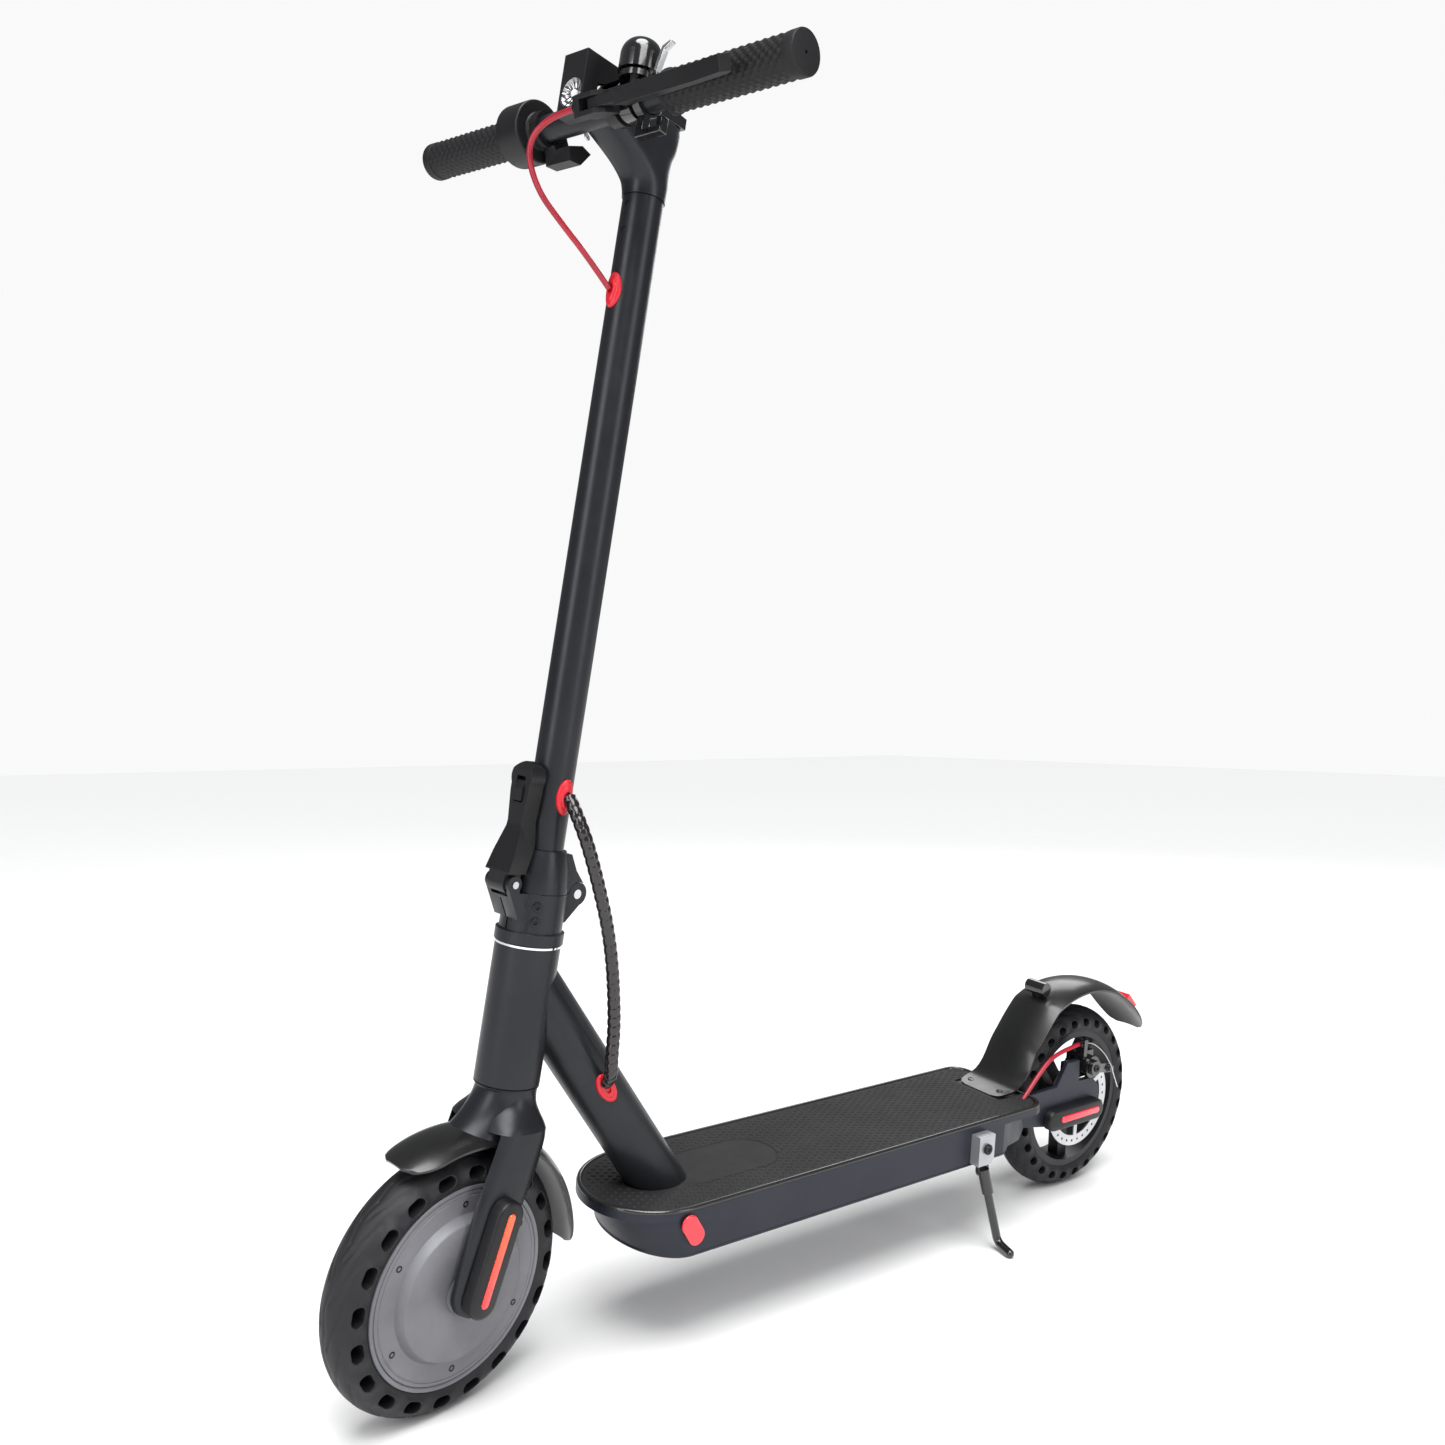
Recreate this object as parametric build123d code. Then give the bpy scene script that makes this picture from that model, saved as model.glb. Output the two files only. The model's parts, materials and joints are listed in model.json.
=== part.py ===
from build123d import *
import math
import os

# Electric kick scooter on its kickstand, bars turned a little to the left. Millimetres.
# Frame pieces are drawn upright: X forward, Y left, Z up, origin on the ground under the rear axle.
# Steered pieces are drawn about the steering axis: X forward, Y left, Z up along the axis, origin
# where the axis passes axle height. place() leans both kinds into the standing scooter.

# Whole scooter
LEAN = 5.5
RAKE = 6.5
STEER_TURN = 11.0
AXIS_X = 773.7
STAND_AT = (-387.4, -113.6, 0.108)
SLIP = 0.05
TOUCH = 0.03

# Wheels and tyres
WHEEL_R = 108.0
TYRE_BORE_R = 82.0
TYRE_HALF_W = 22.4
HONEYCOMB_R = 92.6
FRONT_HOLES = (20, 16.0, 9.6)
REAR_HOLES = (26, 11.5, 9.0)
MOTOR_PLATE_R = 78.1
DOME_R = (60.0, 55.5)
DOME_T = 8.4
AXLE_R = 6.0
FORK_OFFSET = 34.6
FRONT_AXLE_H = -3.413
DISC_R = 55.0
DISC_Y = (24.0, 26.0)

# Deck
DECK_HALF_W = 68.0
DECK_TOP_Z = 138.0
PLATE_BOTTOM_Z = 131.0
DECK_BOTTOM_Z = 99.5
DECK_REAR_X = 113.0
DECK_ARC_X = 600.0
DECK_NOSE = 71.0
COVER_T = 3.0
MAT_T = 2.6
TRIM_W = 5.0

# Steering column, heights along the steering axis
HEAD_BOTTOM_H = 153.0
HEAD_TOP_H = 271.0
HEAD_R = 27.7
HEAD_BORE_R = 23.5
STEERER_R = 14.0
COLLAR_TOP_H = 281.0
SEAM_H = 314.0
HINGE_TOP_H = 349.0
STEM_R = 17.6
STEM_BOTTOM_H = 324.0
STEM_TOP_H = 903.0
FOLD_PIN = (-32.0, 313.0)
FOLD_PIN_R = 4.0
LEVER_PIN = (36.5, 321.0)
LEVER_PIN_R = 3.0

# Handlebar
BAR_U = 65.0
BAR_H = 947.0
BAR_R = 11.0
BAR_HALF = 215.0
GRIP_R = 16.2
BRAKE_TILT = 22.0
CABLE_R = 2.5
HARNESS_R = 5.8

head_frame = Pos(AXIS_X, 0, WHEEL_R) * Rot(0, -RAKE, 0)
steer_frame = head_frame * Rot(0, 0, STEER_TURN)
front_axle_frame = steer_frame * Pos(FORK_OFFSET, 0, FRONT_AXLE_H)
rear_axle_frame = Pos(0, 0, WHEEL_R)
bar_frame = steer_frame * Pos(BAR_U, 0, BAR_H)
brake_frame = bar_frame * Rot(0, BRAKE_TILT, 0)


def box(x, y, z):
    """A box between pairs of limits."""
    size = (x[1] - x[0], y[1] - y[0], z[1] - z[0])
    middle = ((x[0] + x[1]) / 2, (y[0] + y[1]) / 2, (z[0] + z[1]) / 2)
    return Pos(*middle) * Box(*size)


def rod_x(radius, x0, x1, y=0.0, z=0.0):
    """A round bar along X."""
    return Pos((x0 + x1) / 2, y, z) * Rot(0, 90, 0) * Cylinder(radius, x1 - x0)


def rod_y(radius, y0, y1, x=0.0, z=0.0):
    """A round bar along Y."""
    return Pos(x, (y0 + y1) / 2, z) * Rot(90, 0, 0) * Cylinder(radius, y1 - y0)


def rod_z(radius, z0, z1, x=0.0, y=0.0):
    """A round bar along Z."""
    return Pos(x, y, (z0 + z1) / 2) * Cylinder(radius, z1 - z0)


def ring_y(outer, inner, y0, y1, x=0.0, z=0.0):
    """A flat ring about the Y axis."""
    return rod_y(outer, y0, y1, x, z) - rod_y(inner, y0 - 1, y1 + 1, x, z)


def side_plate(face, y0, y1):
    """A face drawn in X and Z, made solid between y0 and y1."""
    return Pos(0, y1, 0) * extrude(Plane.XZ * face, y1 - y0)


def front_plate(face, x0, x1):
    """A face drawn in Y and Z, made solid between x0 and x1."""
    return Pos(x0, 0, 0) * extrude(Plane.YZ * face, x1 - x0)


def polygon(*points):
    """A flat face with straight edges."""
    return make_face(Polyline(*points, points[0]))


def stadium(start, end, radius):
    """A face with round ends about two points."""
    length = math.dist(start, end) + 2 * radius
    turn = math.degrees(math.atan2(end[1] - start[1], end[0] - start[0]))
    middle = ((start[0] + end[0]) / 2, (start[1] + end[1]) / 2)
    return Pos(*middle) * Rot(0, 0, turn) * SlotOverall(length, 2 * radius)


def both_sides(shape):
    """A piece and its mirror image across the middle plane."""
    return [shape, mirror(shape, Plane.XZ)]


def biggest(shape):
    """The largest solid left after a cut."""
    return shape.solids().sort_by(SortBy.VOLUME)[-1]


def bent_tube(points, section_r, name, reach=0.45):
    """A cord along straight runs joined by arcs as large as the runs allow."""
    vectors = [Vector(*p) for p in points]
    radii = []
    for before, here, after in zip(vectors, vectors[1:], vectors[2:]):
        turn = (here - before).get_angle(after - here)
        shorter = min((here - before).length, (after - here).length)
        radii.append(reach * shorter / math.tan(math.radians(turn / 2)))
    path = FilletPolyline(*vectors, radius=radii)
    start = Plane(origin=path @ 0, z_dir=path % 0)
    tube = sweep(start * Circle(section_r), path)
    expected = math.pi * section_r**2 * path.length
    print(name, "length", round(path.length, 1), "radii", [round(r) for r in radii],
          "volume ratio", round(tube.volume / expected, 4))
    return tube


# Wheels, drawn about their axle


def tyre(count, length, width):
    """A solid tyre with honeycomb holes through it, given as their number, length and width."""
    bead = TYRE_HALF_W - 3.0
    shoulder = TYRE_HALF_W - 4.8
    shoulder_r = WHEEL_R - 8.0
    belly_r = TYRE_BORE_R + 8.0
    outline = [
        Line((TYRE_BORE_R, -bead), (TYRE_BORE_R, bead)),
        ThreePointArc((TYRE_BORE_R, bead), (belly_r, TYRE_HALF_W), (shoulder_r, shoulder)),
        ThreePointArc((shoulder_r, shoulder), (WHEEL_R, 0), (shoulder_r, -shoulder)),
        ThreePointArc((shoulder_r, -shoulder), (belly_r, -TYRE_HALF_W), (TYRE_BORE_R, -bead)),
    ]
    ring = revolve(make_face(outline), Axis.Y)
    slot = Rot(0, 0, 90) * SlotOverall(length, width)
    hole = Pos(HONEYCOMB_R, 0, 0) * Rot(90, 0, 0) * extrude(slot, 30, both=True)
    holes = [Rot(0, i * 360 / count, 0) * hole for i in range(count)]
    return ring - holes


def rear_rim():
    """A cast rim with a hub and five spokes."""
    rim = ring_y(TYRE_BORE_R - TOUCH, 74.5, -19.0, 19.0)
    hub = rod_y(24, -20, 20)
    spokes = [Rot(0, i * 72 + 20, 0) * box((20, 76), (-7, 7), (-8, 8)) for i in range(5)]
    return rim + hub + spokes - rod_y(AXLE_R + SLIP, -30, 30)


def brake_disc():
    """A vented track on six spokes."""
    track = ring_y(DISC_R, 42.5, *DISC_Y)
    centre = ring_y(20, AXLE_R + 1, *DISC_Y)
    spokes = [Rot(0, i * 60 + 30, 0) * box((18, 44), (DISC_Y[0], DISC_Y[1]), (-3, 3)) for i in range(6)]
    vents = [Rot(0, i * 12, 0) * rod_y(1.4, 20, 30, x=49) for i in range(30)]
    spacer = ring_y(16, AXLE_R + 1, 20.0 + TOUCH, DISC_Y[0])
    return track + centre + spokes - vents + spacer


def motor_casing():
    """The ring of the hub motor, with a lip on both sides."""
    ring = ring_y(TYRE_BORE_R - TOUCH, 66, -17, 17)
    lip = ring_y(TYRE_BORE_R - TOUCH, MOTOR_PLATE_R + 0.1, 17, 21.0)
    return ring + lip + mirror(lip, Plane.XZ)


def motor_side_plate():
    """A domed cover that closes one side of the hub motor."""
    plate = rod_y(MOTOR_PLATE_R, 17 + TOUCH, 20.6)
    low = Align.CENTER, Align.CENTER, Align.MIN
    dome = Pos(0, 20.6, 0) * Rot(-90, 0, 0) * Cone(*DOME_R, DOME_T, align=low)
    return plate + dome - rod_y(AXLE_R + SLIP, 10, 40)


def motor_axle():
    """The fixed axle with the motor's stator on it."""
    stator = ring_y(63, AXLE_R - 0.5, -14, 14)
    return rod_y(AXLE_R, -44.0, 44.0) + stator


# Fork and front mudguard, steered

LEG_FOOT = (FORK_OFFSET, FRONT_AXLE_H)
LEG_Y = (33.0, 43.0)
COVER_LEAN = 12.3
COVER_REACH = 66.4


def fork():
    """Steerer tube, crown and two legs in one casting."""
    top = Plane.XY.offset(HEAD_BOTTOM_H - 0.5) * Circle(HEAD_R)
    waist = Plane.XY.offset(134) * (Pos(-1, 0) * RectangleRounded(58, 66, 26))
    base = Plane.XY.offset(112) * (Pos(2, 0) * RectangleRounded(60, 86, 24))
    crown = loft([top, waist, base])
    shape = polygon((-28, 113), (32, 113), (44, 62), (51.6, 0), (18, -8), (-4, 50), (-18, 80))
    shape = shape + Pos(*LEG_FOOT) * Circle(17)
    legs = both_sides(side_plate(shape, *LEG_Y))
    steerer = rod_z(STEERER_R, HEAD_BOTTOM_H - 8, SEAM_H - 8)
    tunnel = rod_y(124.8, -32.9, 32.9, *LEG_FOOT)
    axle_bore = rod_y(AXLE_R + SLIP, -60, 60, *LEG_FOOT)
    return crown + legs + steerer - tunnel - axle_bore


def cover_line():
    """Lower and upper centres of the axle covers on the fork."""
    lean = math.radians(COVER_LEAN)
    low = LEG_FOOT
    return low, (low[0] - COVER_REACH * math.sin(lean), low[1] + COVER_REACH * math.cos(lean))


def fork_cover():
    shell = side_plate(stadium(*cover_line(), 13.0), LEG_Y[1] + TOUCH, 55.0)
    return shell - rod_y(8.0, 30, 50, *LEG_FOOT)


def fork_reflector():
    return side_plate(stadium(*cover_line(), 3.6), 55.0 + TOUCH, 56.0)


def mudguard(radius, half_w, start, end, drop=7.0, thickness=2.5):
    """An arched shell about the Y axis, from one angle above forward to another."""
    inner = radius - thickness
    section = [
        ThreePointArc((radius - drop, -half_w), (radius, 0), (radius - drop, half_w)),
        Line((radius - drop, half_w), (inner - drop, half_w)),
        ThreePointArc((inner - drop, half_w), (inner, 0), (inner - drop, -half_w)),
        Line((inner - drop, -half_w), (radius - drop, -half_w)),
    ]
    return Rot(0, -start, 0) * revolve(make_face(section), Axis.Y, revolution_arc=-(end - start))


FRONT_FENDER_R = 124.0
FRONT_FENDER_ARC = (57.0, 177.0)


def front_fender():
    """The arch over the front wheel and the visor that joins it to the crown."""
    arch = Pos(LEG_FOOT[0], 0, LEG_FOOT[1]) * mudguard(FRONT_FENDER_R, 28.0, *FRONT_FENDER_ARC)
    top = HEAD_BOTTOM_H - 0.6
    side = polygon((20, top), (31, top), (38, 142), (44, 131), (49, 120), (49, 112), (20, 112))
    front = polygon((-19, top), (19, top), (26, 126), (27, 100), (-27, 100), (-26, 126))
    visor = side_plate(side, -40, 40) & front_plate(front, 0, 90)
    hollow = rod_y(121.5, -60, 60, *LEG_FOOT)
    return biggest(arch + (visor - hollow) - fork())


# Head, steerer clamp and fold hinge


def head_tube():
    return rod_z(HEAD_R, HEAD_BOTTOM_H, HEAD_TOP_H) - rod_z(HEAD_BORE_R, 0, 400)


def headset_cups():
    """Bearing cups pressed into both ends of the head tube."""
    bore = rod_z(STEERER_R + SLIP, 0, 400)
    low = rod_z(HEAD_BORE_R - 0.01, HEAD_BOTTOM_H, HEAD_BOTTOM_H + 10)
    high = rod_z(HEAD_BORE_R - 0.01, HEAD_TOP_H - 10, HEAD_TOP_H)
    return [low - bore, high - bore]


KNUCKLE_R = 10.0
KNUCKLE_HALF = 8.0
HINGE_HALF = 17.0
LEVER_HALF = 10.0
EAR_HALF = 15.5
EAR_R = 7.0


def hinge_base():
    """The clamp on the steerer: collar, split block, rear knuckles and ears for the lever."""
    collar = rod_z(29.0, HEAD_TOP_H + 0.4, COLLAR_TOP_H)
    block = rod_z(26.5, COLLAR_TOP_H - 1, SEAM_H - 0.1)
    u, h = FOLD_PIN
    under = polygon((0, SEAM_H - 0.1), (u, h + 0.5), (u - 4, h - 9), (-22, h - 24), (0, h - 24))
    nose = side_plate(under, -HINGE_HALF, HINGE_HALF) + rod_y(KNUCKLE_R, -HINGE_HALF, HINGE_HALF, u, h)
    lu, lh = LEVER_PIN
    ear_face = polygon((20, 292), (20, SEAM_H - 0.1), (lu - 6, SEAM_H - 0.1), (lu - 6, lh + 3),
                       (lu + 4, lh + 3), (lu + 5.6, lh - 4), (28, 292))
    ear = side_plate(ear_face, -EAR_HALF, EAR_HALF) + rod_y(EAR_R, -EAR_HALF, EAR_HALF, lu, lh)
    lever_room = rod_y(10.6, -LEVER_HALF - 0.4, LEVER_HALF + 0.4, lu, lh)
    knuckle_room = rod_y(KNUCKLE_R + 0.5, -KNUCKLE_HALF - 0.3, KNUCKLE_HALF + 0.3, u, h)
    head_room = box((-60, 26.9), (-40, 40), (SEAM_H - 0.1, 400))
    knuckles = rod_y(KNUCKLE_R, -HINGE_HALF, HINGE_HALF, u, h) - knuckle_room
    body = collar + block + nose + ear - knuckle_room - lever_room - head_room + knuckles
    steerer_bore = rod_z(STEERER_R + 0.01, 200, SEAM_H - 8)
    wire_bore = rod_z(9, 200, 400)
    split = box((20, 60), (-0.8, 0.8), (COLLAR_TOP_H, SEAM_H - 6))
    pins = rod_y(FOLD_PIN_R + SLIP, -40, 40, u, h) + rod_y(LEVER_PIN_R + SLIP, -40, 40, lu, lh)
    return biggest(body - steerer_bore - wire_bore - split - pins)


def hinge_pins():
    """The fold pin and the lever's pin."""
    fold = rod_y(FOLD_PIN_R, -HINGE_HALF, HINGE_HALF, *FOLD_PIN)
    lever = rod_y(LEVER_PIN_R, -EAR_HALF - 1, EAR_HALF + 1, *LEVER_PIN)
    return [fold, lever]


def hinge_head():
    """The bell-shaped foot of the stem, with the middle knuckle at its back."""
    low = SEAM_H + 0.3
    sections = [
        Plane.XY.offset(low) * Circle(26.5),
        Plane.XY.offset(332) * Circle(24.5),
        Plane.XY.offset(HINGE_TOP_H) * Circle(20.5),
    ]
    bell = loft(sections)
    u, h = FOLD_PIN
    flare = polygon((-10, low), (-10, HINGE_TOP_H - 2), (-19, HINGE_TOP_H - 2), (-27, h + 20), (u - 8, h + 6), (u, low))
    wide = side_plate(flare, -HINGE_HALF, HINGE_HALF)
    knuckle = rod_y(KNUCKLE_R, -KNUCKLE_HALF, KNUCKLE_HALF, u, h)
    web = side_plate(polygon((-10, low), (-20, h + 16), (u, h + 9.5), (u, h)), -KNUCKLE_HALF, KNUCKLE_HALF)
    front_flat = box((24.0, 60), (-40, 40), (300, 400))
    base_room = box((-22.0, 60), (-40, 40), (200, low))
    rear_room = rod_y(KNUCKLE_R + 0.5, -40, 40, u, h)
    body = bell + wide - front_flat - rear_room + knuckle + web - base_room
    bores = rod_z(STEM_R + 0.01, STEM_BOTTOM_H - TOUCH, 500) + rod_z(9, 200, 400)
    return body - bores - rod_y(FOLD_PIN_R + SLIP, -40, 40, u, h)


def stem_tube():
    return rod_z(STEM_R, STEM_BOTTOM_H, STEM_TOP_H) - rod_z(STEM_R - 2.2, 300, 1000)


CATCH_PIN = (30.5, 404.0)


def fold_lever():
    """The latch in front of the stem, wide at its foot and round at its head."""
    u, h = LEVER_PIN
    side = polygon((u - 8.5, h), (u - 9, h + 8), (20.0, 351), (19.4, 356), (19.4, 416), (24, 421), (30, 421),
                   (34.5, 414), (34.5, 366), (u + 8.2, h + 10), (u + 8.5, h))
    profile = side_plate(side, -30, 30) + rod_y(8.5, -30, 30, u, h)
    foot = polygon((-LEVER_HALF, h - 9), (LEVER_HALF, h - 9), (LEVER_HALF, h + 8.6), (EAR_HALF, h + 8.6),
                   (14, 345), (9, 371), (11.5, 395), (11.5, 408), (-11.5, 408), (-11.5, 395), (-9, 371), (-14, 345),
                   (-EAR_HALF, h + 8.6),
                   (-LEVER_HALF, h + 8.6))
    front = front_plate(foot, 0, 60) + rod_x(13, 0, 60, z=408)
    ear_room = ring_y(EAR_R + 0.6, 0.5, LEVER_HALF + 0.01, 40, u, h)
    pocket = box((28.5, 40), (-5.5, 5.5), (387, 408.5))
    body = (profile & front) - ear_room - mirror(ear_room, Plane.XZ) - pocket
    return body - rod_y(LEVER_PIN_R + SLIP, -40, 40, u, h) - rod_y(1.5 + SLIP, -8, 8, *CATCH_PIN)


def fold_catch():
    """A small thumb tab hinged at its top in the lever's pocket."""
    tab = polygon((30.2, 389), (36.0, 388.2), (36.0, 398), (33.5, 405), (29.6, 405.6), (28.9, 402))
    return side_plate(tab, -5.1, 5.1) + rod_y(1.5, -7.6, 7.6, *CATCH_PIN)


# Stem head and handlebar


def stem_head():
    """The casting that leans forward from the stem and clamps the bar."""
    top = BAR_H + 24.5
    side = polygon((20.0, STEM_TOP_H), (22.0, 911), (28, 919), (38, 926), (BAR_U, 929.5), (77.5, 934),
                   (77.5, BAR_H + 16), (70, BAR_H + 18.5), (58, top), (-23.6, top), (-20.5, STEM_TOP_H))
    front = polygon((-19.5, STEM_TOP_H), (19.5, STEM_TOP_H), (19.5, 960), (14, top), (-14, top), (-19.5, 960))
    body = side_plate(side, -30, 30) & front_plate(front, -40, 90)
    plug = rod_z(STEM_R - 2.3, 885, STEM_TOP_H + 1)
    channel = rod_z(9, 880, 940)
    return body + plug - channel - rod_y(BAR_R + 0.01, -40, 40, BAR_U, BAR_H)


def handlebar():
    return ring_y(BAR_R, BAR_R - 2, -BAR_HALF, BAR_HALF)


def grip(start):
    """A rubber grip closed at its outer end."""
    sleeve = rod_y(GRIP_R, start, BAR_HALF + 2.5) - rod_y(BAR_R + 0.01, start - 1, BAR_HALF + 0.01)
    flange = ring_y(GRIP_R + 0.8, BAR_R + 0.01, start, start + 3)
    return sleeve + flange


def headlight():
    """The lamp housing in front of the bar and over it."""
    front = 93.0
    side = polygon((78.0, 935), (front, 935), (front, 985.5), (54, 985.5), (54, 980), (71, 966.5), (78.0, 964))
    body = side_plate(side, -14.0, 14.0)
    return body - rod_x(12.3, front - 5, front + 5, z=953)


def headlight_lens():
    return rod_x(12.2, 88.0 + TOUCH, 92.4, z=953)


def display():
    """The dark panel on top of the stem head, with a well for the button."""
    face = polygon((-22.5, BAR_H + 24.53), (58.3, BAR_H + 24.53), (53.7, 979), (53.7, 985.5), (20, 985.5),
                   (-22.5, 981))
    panel = side_plate(face, -14.0, 14.0)
    return panel - rod_z(6.3, 977, 1000, 34)


def power_button():
    return rod_z(6.0, 978.2, 986.3, 34)


def throttle_housing():
    """The round electronics pod beside the right grip."""
    pod = rod_y(25.5, -97.8, -69.5) + rod_y(14.5, -69.5, -66.2)
    return pod - rod_y(BAR_R + 0.01, -120, 0)


def throttle_paddle():
    """The thumb paddle, turning on the bar behind and below it."""
    collar = ring_y(15.0, BAR_R + SLIP, -65.8, -58.0)
    arm = side_plate(polygon((-13, 2), (-3, -13), (-10, -22), (-22, -13)), -65.8, -52.0)
    paddle = side_plate(polygon((-6, -16), (-9, -27), (-21, -26), (-30, -13), (-20, -10)), -65.8, -35.0)
    return collar + (arm - rod_y(14.0, -80, 0)) + (paddle - rod_y(14.0, -80, 0))


LEVER_AXIS = (29.0, 34.0)
CABLE_START_V = 14.4


def brake_bracket():
    """Clamp, arm and cable barrel of the brake lever, in the lever's own plane."""
    clamp = ring_y(15.5, BAR_R + 0.01, 24, 36.0)
    arm = box((12, 22), (24, 36), (-8, 8))
    plan = polygon((17, 20), (38, 16), (40, 22), (40, 40), (33, 46), (17, 46))
    head = extrude(Pos(0, 0, -8) * plan, 16)
    barrel = rod_y(4.5, CABLE_START_V, 22, 34.0, 0)
    room = box((23, 60), (24.5, 60), (-4.4, 4.4))
    body = clamp + arm + head + barrel - room - rod_y(BAR_R + 0.01, 0, 60)
    return body - rod_z(3.0, -10, 10, *LEVER_AXIS)


def brake_lever():
    """The blade, its round heel and its pin, in the lever's own plane."""
    heel = rod_z(5.5, -4, 4, *LEVER_AXIS)
    pin = rod_z(3.0 - SLIP, -8, 8, *LEVER_AXIS)
    neck = polygon((25, 34), (36, 30), (38, 48), (36, 60), (24, 60), (24.6, 42))
    blade = polygon((24, 60), (36, 60), (36, 100), (35.5, 140), (39, 170), (33, 176), (28.5, 170), (25.5, 140), (24, 100))
    thin = extrude(Pos(0, 0, -4) * neck, 8)
    thick = extrude(Pos(0, 0, -6) * blade, 12)
    return heel + pin + thin + (thick - box((0, 60), (0, 47.0), (-9, 9)))


def bell():
    """Clamp, pedestal and dome of the bell."""
    clamp = ring_y(14.5, BAR_R + 0.01, 40, 52)
    foot = rod_z(8, 11.5, 18, 0, 46) + rod_z(15.5, 16.0, 20.5, 0, 46)
    dome_face = make_face([
        Line((0, 22.5), (17, 22.5)),
        Line((17, 22.5), (17, 36)),
        ThreePointArc((17, 36), (12.6, 46.2), (3, 50.2)),
        Line((3, 50.2), (0, 50.2)),
        Line((0, 50.2), (0, 22.5)),
    ])
    dome = Pos(0, 46, 0) * revolve(Plane.XZ * dome_face, Axis.Z)
    post = rod_z(4, 20, 23.5, 0, 46)
    cheek = stadium((58, 18), (66, 18), 3.0)
    cheeks = front_plate(cheek, -5.2, -3.0) + front_plate(cheek, 3.0, 5.2)
    hole = rod_x(1.5 + SLIP, -10, 10, y=66, z=18.0)
    return clamp + foot + dome + post + cheeks - rod_y(BAR_R + 0.01, 0, 90) - hole


def bell_lever():
    """The striker's thumb lever, hinged outboard of the dome."""
    blade = front_plate(polygon((64.5, 17), (67, 16), (69.4, 24), (73, 36), (80, 40.5), (79, 42), (70.5, 39), (66.5, 28)),
                        -2.6, 2.6)
    return blade + rod_x(2.6, -2.6, 2.6, y=66, z=18.0) + rod_x(1.5, -4.9, 4.9, y=66, z=18.0)


def hanging_hook():
    """A clamp under the bar with an open wire-like hook."""
    clamp = ring_y(14.5, BAR_R + 0.01, 55.5, 63)
    drop = box((-4, 4), (55.5, 63), (-27, -12))
    bottom = box((-4, 4), (55.5, 84), (-31, -25.5))
    tip = box((-4, 4), (78.5, 84), (-31, -18.5))
    return clamp + drop + bottom + tip - rod_y(BAR_R + 0.01, 0, 90)


def grommet(radius, length=30.0, width=19.0, thickness=4.0):
    """An oval rubber ring lying on a round tube, facing +X, long way up Z."""
    pad = Rot(0, 90, 0) * extrude(Ellipse(length / 2, width / 2), radius + thickness)
    return pad - rod_z(radius + TOUCH, -length, length)


UPPER_GROMMET_H = 820.0
LOWER_GROMMET_H = 395.0


def stem_grommets():
    upper = Pos(0, 0, UPPER_GROMMET_H) * grommet(STEM_R)
    lower = Pos(0, 0, LOWER_GROMMET_H) * Rot(0, 0, 90) * grommet(STEM_R)
    return [upper, lower]


def front_brake_cable():
    """From the lever's barrel, down in front of the stem, to the upper grommet."""
    tilt = math.radians(BRAKE_TILT)
    exit_u = BAR_U + 34.0 * math.cos(tilt)
    exit_h = BAR_H - 34.0 * math.sin(tilt)
    points = [(exit_u, CABLE_START_V - 0.1, exit_h), (exit_u + 1, -18, exit_h), (101, -36, 912), (90, -28, 880),
              (70, -14, 857), (46, -5, 838), (8, 2, UPPER_GROMMET_H - 10)]
    tube = bent_tube(points, CABLE_R, "front_brake_cable")
    return tube - box((-30, STEM_R + 4.0 + TOUCH), (-30, 30), (700, 900))


# Deck and frame


DOWN_TUBE_R = 25.0
DOWN_TUBE_ANGLE = 54.6
DOWN_TUBE_FOOT = (596.0, 0, DECK_TOP_Z)
DOWN_GROMMET_UP = 133.0


def down_tube_frame():
    """Z runs up the down tube from its foot on the deck."""
    return Pos(*DOWN_TUBE_FOOT) * Rot(0, 90 - DOWN_TUBE_ANGLE, 0)


def down_tube():
    tube = down_tube_frame() * rod_z(DOWN_TUBE_R, -60, 280)
    above = box((400, 900), (-60, 60), (DECK_TOP_Z + TOUCH, 700))
    return biggest((tube & above) - head_frame * rod_z(HEAD_R + TOUCH, -100, 500))


def down_tube_grommet():
    return down_tube_frame() * Pos(0, 0, DOWN_GROMMET_UP) * Rot(0, 0, 90) * grommet(DOWN_TUBE_R)


def deck_outline(inset=0.0):
    """The deck's plan: straight sides, a round nose and rounded rear corners."""
    half = DECK_HALF_W - inset
    rear = DECK_REAR_X + inset
    body = Pos((rear + DECK_ARC_X) / 2, 0) * RectangleRounded(DECK_ARC_X - rear, 2 * half, 22)
    front = Pos(DECK_ARC_X - 50, 0) * Rectangle(100, 2 * half)
    return body + front + Pos(DECK_ARC_X, 0) * Ellipse(DECK_NOSE - inset, half)


def hull_outline(nose, inset=0.0):
    """The hull's plan: a shorter nose, and a tail that narrows to the rear arms."""
    half = DECK_HALF_W - inset
    tail = [(DECK_ARC_X, -half), (186, -half), (150 + inset, -60 + inset), (122 + inset, -43 + inset)]
    corners = tail + [(x, -y) for x, y in reversed(tail)]
    return polygon(*corners) + Pos(DECK_ARC_X, 0) * Ellipse(nose - inset, half)


def stern_room():
    """The space under the deck's tail."""
    return side_plate(polygon((187, DECK_BOTTOM_Z - 9), (176, DECK_BOTTOM_Z + 4), (60, DECK_BOTTOM_Z + 4),
                              (60, DECK_BOTTOM_Z - 9)), -90, 90)


def hull(inset=0.0):
    """The hull's solid, drawn in all round by the inset."""
    low = Pos(0, 0, DECK_BOTTOM_Z) * hull_outline(44.0, inset)
    high = Pos(0, 0, PLATE_BOTTOM_Z) * hull_outline(60.0, inset)
    return loft([low, high])


FLAP_AT = (594.5, DECK_HALF_W, 108.5)
FLAP_LENGTH = 31.0
FLAP_W = 17.0


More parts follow.
